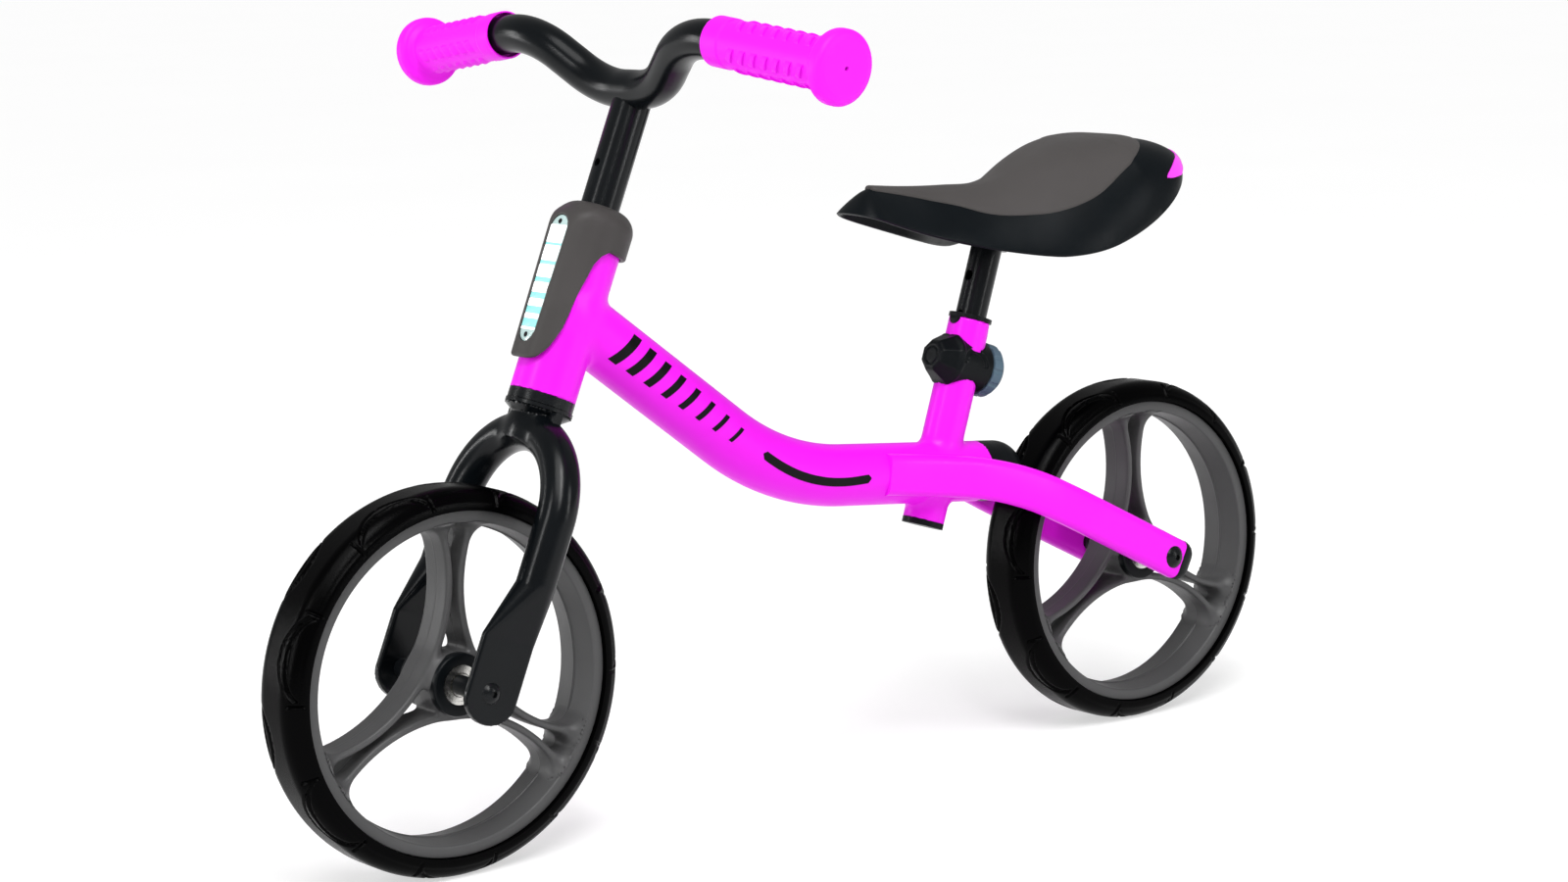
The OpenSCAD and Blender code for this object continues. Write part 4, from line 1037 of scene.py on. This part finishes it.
# A clear pink band let into the tail's upper rear edge, thinning out along both sides
BAND_START, BAND_REACH, BAND_HALF = 243.0, 0.962, 0.032
keep = np.where(edge[:, 1] > BAND_START)[0]
fade = np.clip((edge[keep, 1] - BAND_START) / 16.0, 0, 1) ** 0.7
stations = []
for k, wide in zip(keep, fade):
    half = BAND_HALF * wide
    ring = [saddle_skin(BAND_REACH + half * q, 0.7, n_round)[k] for q in np.linspace(-1, 1, 7)]
    ring += [saddle_skin(BAND_REACH + half * q, -1.4, n_round)[k] for q in np.linspace(1, -1, 7)]
    stations.append(ring)
v, f = loft(stations)
new_piece("tail_band", v, f, tail_pink, "seat", ["saddle_tail"], 50)


# Camera, light and floor ---------------------------------------------------------------

camera = bpy.data.objects.new("camera", bpy.data.cameras.new("camera"))
bpy.context.scene.collection.objects.link(camera)
azimuth, elevation, roll = 0.8990, 0.1606, -0.0274
CAMERA_AT, LENS_MM = (1.55764, -1.25510, 0.53304), 79.16
look_back = Vector((math.sin(azimuth) * math.cos(elevation), -math.cos(azimuth) * math.cos(elevation),
                    math.sin(elevation)))
right = Vector((math.cos(azimuth), math.sin(azimuth), 0))
up = look_back.cross(right)
turned_right = math.cos(roll) * right + math.sin(roll) * up
turned_up = math.cos(roll) * up - math.sin(roll) * right
rotation = Matrix((turned_right, turned_up, look_back)).transposed().to_4x4()
camera.matrix_world = Matrix.Translation(CAMERA_AT) @ rotation
camera.data.lens = LENS_MM
camera.data.sensor_width = 36.0
camera.data.clip_start, camera.data.clip_end = 0.05, 100.0
bpy.context.scene.camera = camera

floor_material = material("floor", (0.5, 0.5, 0.5), 0.9, vary=0.01, scale=2, bump=0.02, specular=0.02,
                          glow=((1.0, 1.0, 1.0), 0.56))
mesh = bpy.data.meshes.new("floor")
FLOOR = 30.0
mesh.from_pydata([(-FLOOR, -FLOOR, 0), (FLOOR, -FLOOR, 0), (FLOOR, FLOOR, 0), (-FLOOR, FLOOR, 0)], [],
                 [(0, 1, 2, 3)])
mesh.materials.append(floor_material)
floor = bpy.data.objects.new("floor", mesh)
bpy.context.scene.collection.objects.link(floor)

world = bpy.data.worlds.new("studio")
bpy.context.scene.world = world
world.use_nodes = True
sky, tree = world.node_tree.nodes["Background"], world.node_tree
sky.inputs["Color"].default_value = (1.0, 1.0, 1.0, 1)
# White where it is seen itself, dimmer as a light, so that the black parts stay black
seen = tree.nodes.new("ShaderNodeLightPath")
level = tree.nodes.new("ShaderNodeMapRange")
level.inputs["To Min"].default_value, level.inputs["To Max"].default_value = 0.36, 1.0
tree.links.new(seen.outputs["Is Camera Ray"], level.inputs["Value"])
tree.links.new(level.outputs["Result"], sky.inputs["Strength"])


def softbox(name, at, target, size, power):
    """A rectangular lamp, aimed at a point."""
    light = bpy.data.lights.new(name, "AREA")
    light.shape = "RECTANGLE"
    light.size, light.size_y = size
    light.energy = power
    obj = bpy.data.objects.new(name, light)
    bpy.context.scene.collection.objects.link(obj)
    obj.location = at
    obj.rotation_euler = (Vector(target) - Vector(at)).to_track_quat("-Z", "Y").to_euler()


sun = bpy.data.lights.new("overhead", "SUN")
sun.energy, sun.angle = 1.7, math.radians(40)
sun_lamp = bpy.data.objects.new("overhead", sun)
bpy.context.scene.collection.objects.link(sun_lamp)
sun_lamp.rotation_euler = (math.radians(18), math.radians(22), 0)
softbox("key", (1.3, -0.7, 1.9), (0, 0, 0.25), (0.28, 1.5), 24)
softbox("side", (0.2, -2.4, 1.0), (0, 0, 0.25), (0.22, 1.6), 18)
softbox("rear", (2.3, 1.1, 0.9), (0, 0.1, 0.25), (0.2, 1.4), 15)
softbox("left", (-2.0, -2.0, 0.6), (0, -0.3, 0.2), (0.22, 1.1), 16)

scene = bpy.context.scene
scene.view_settings.view_transform = "Standard"
scene.view_settings.look = "None"
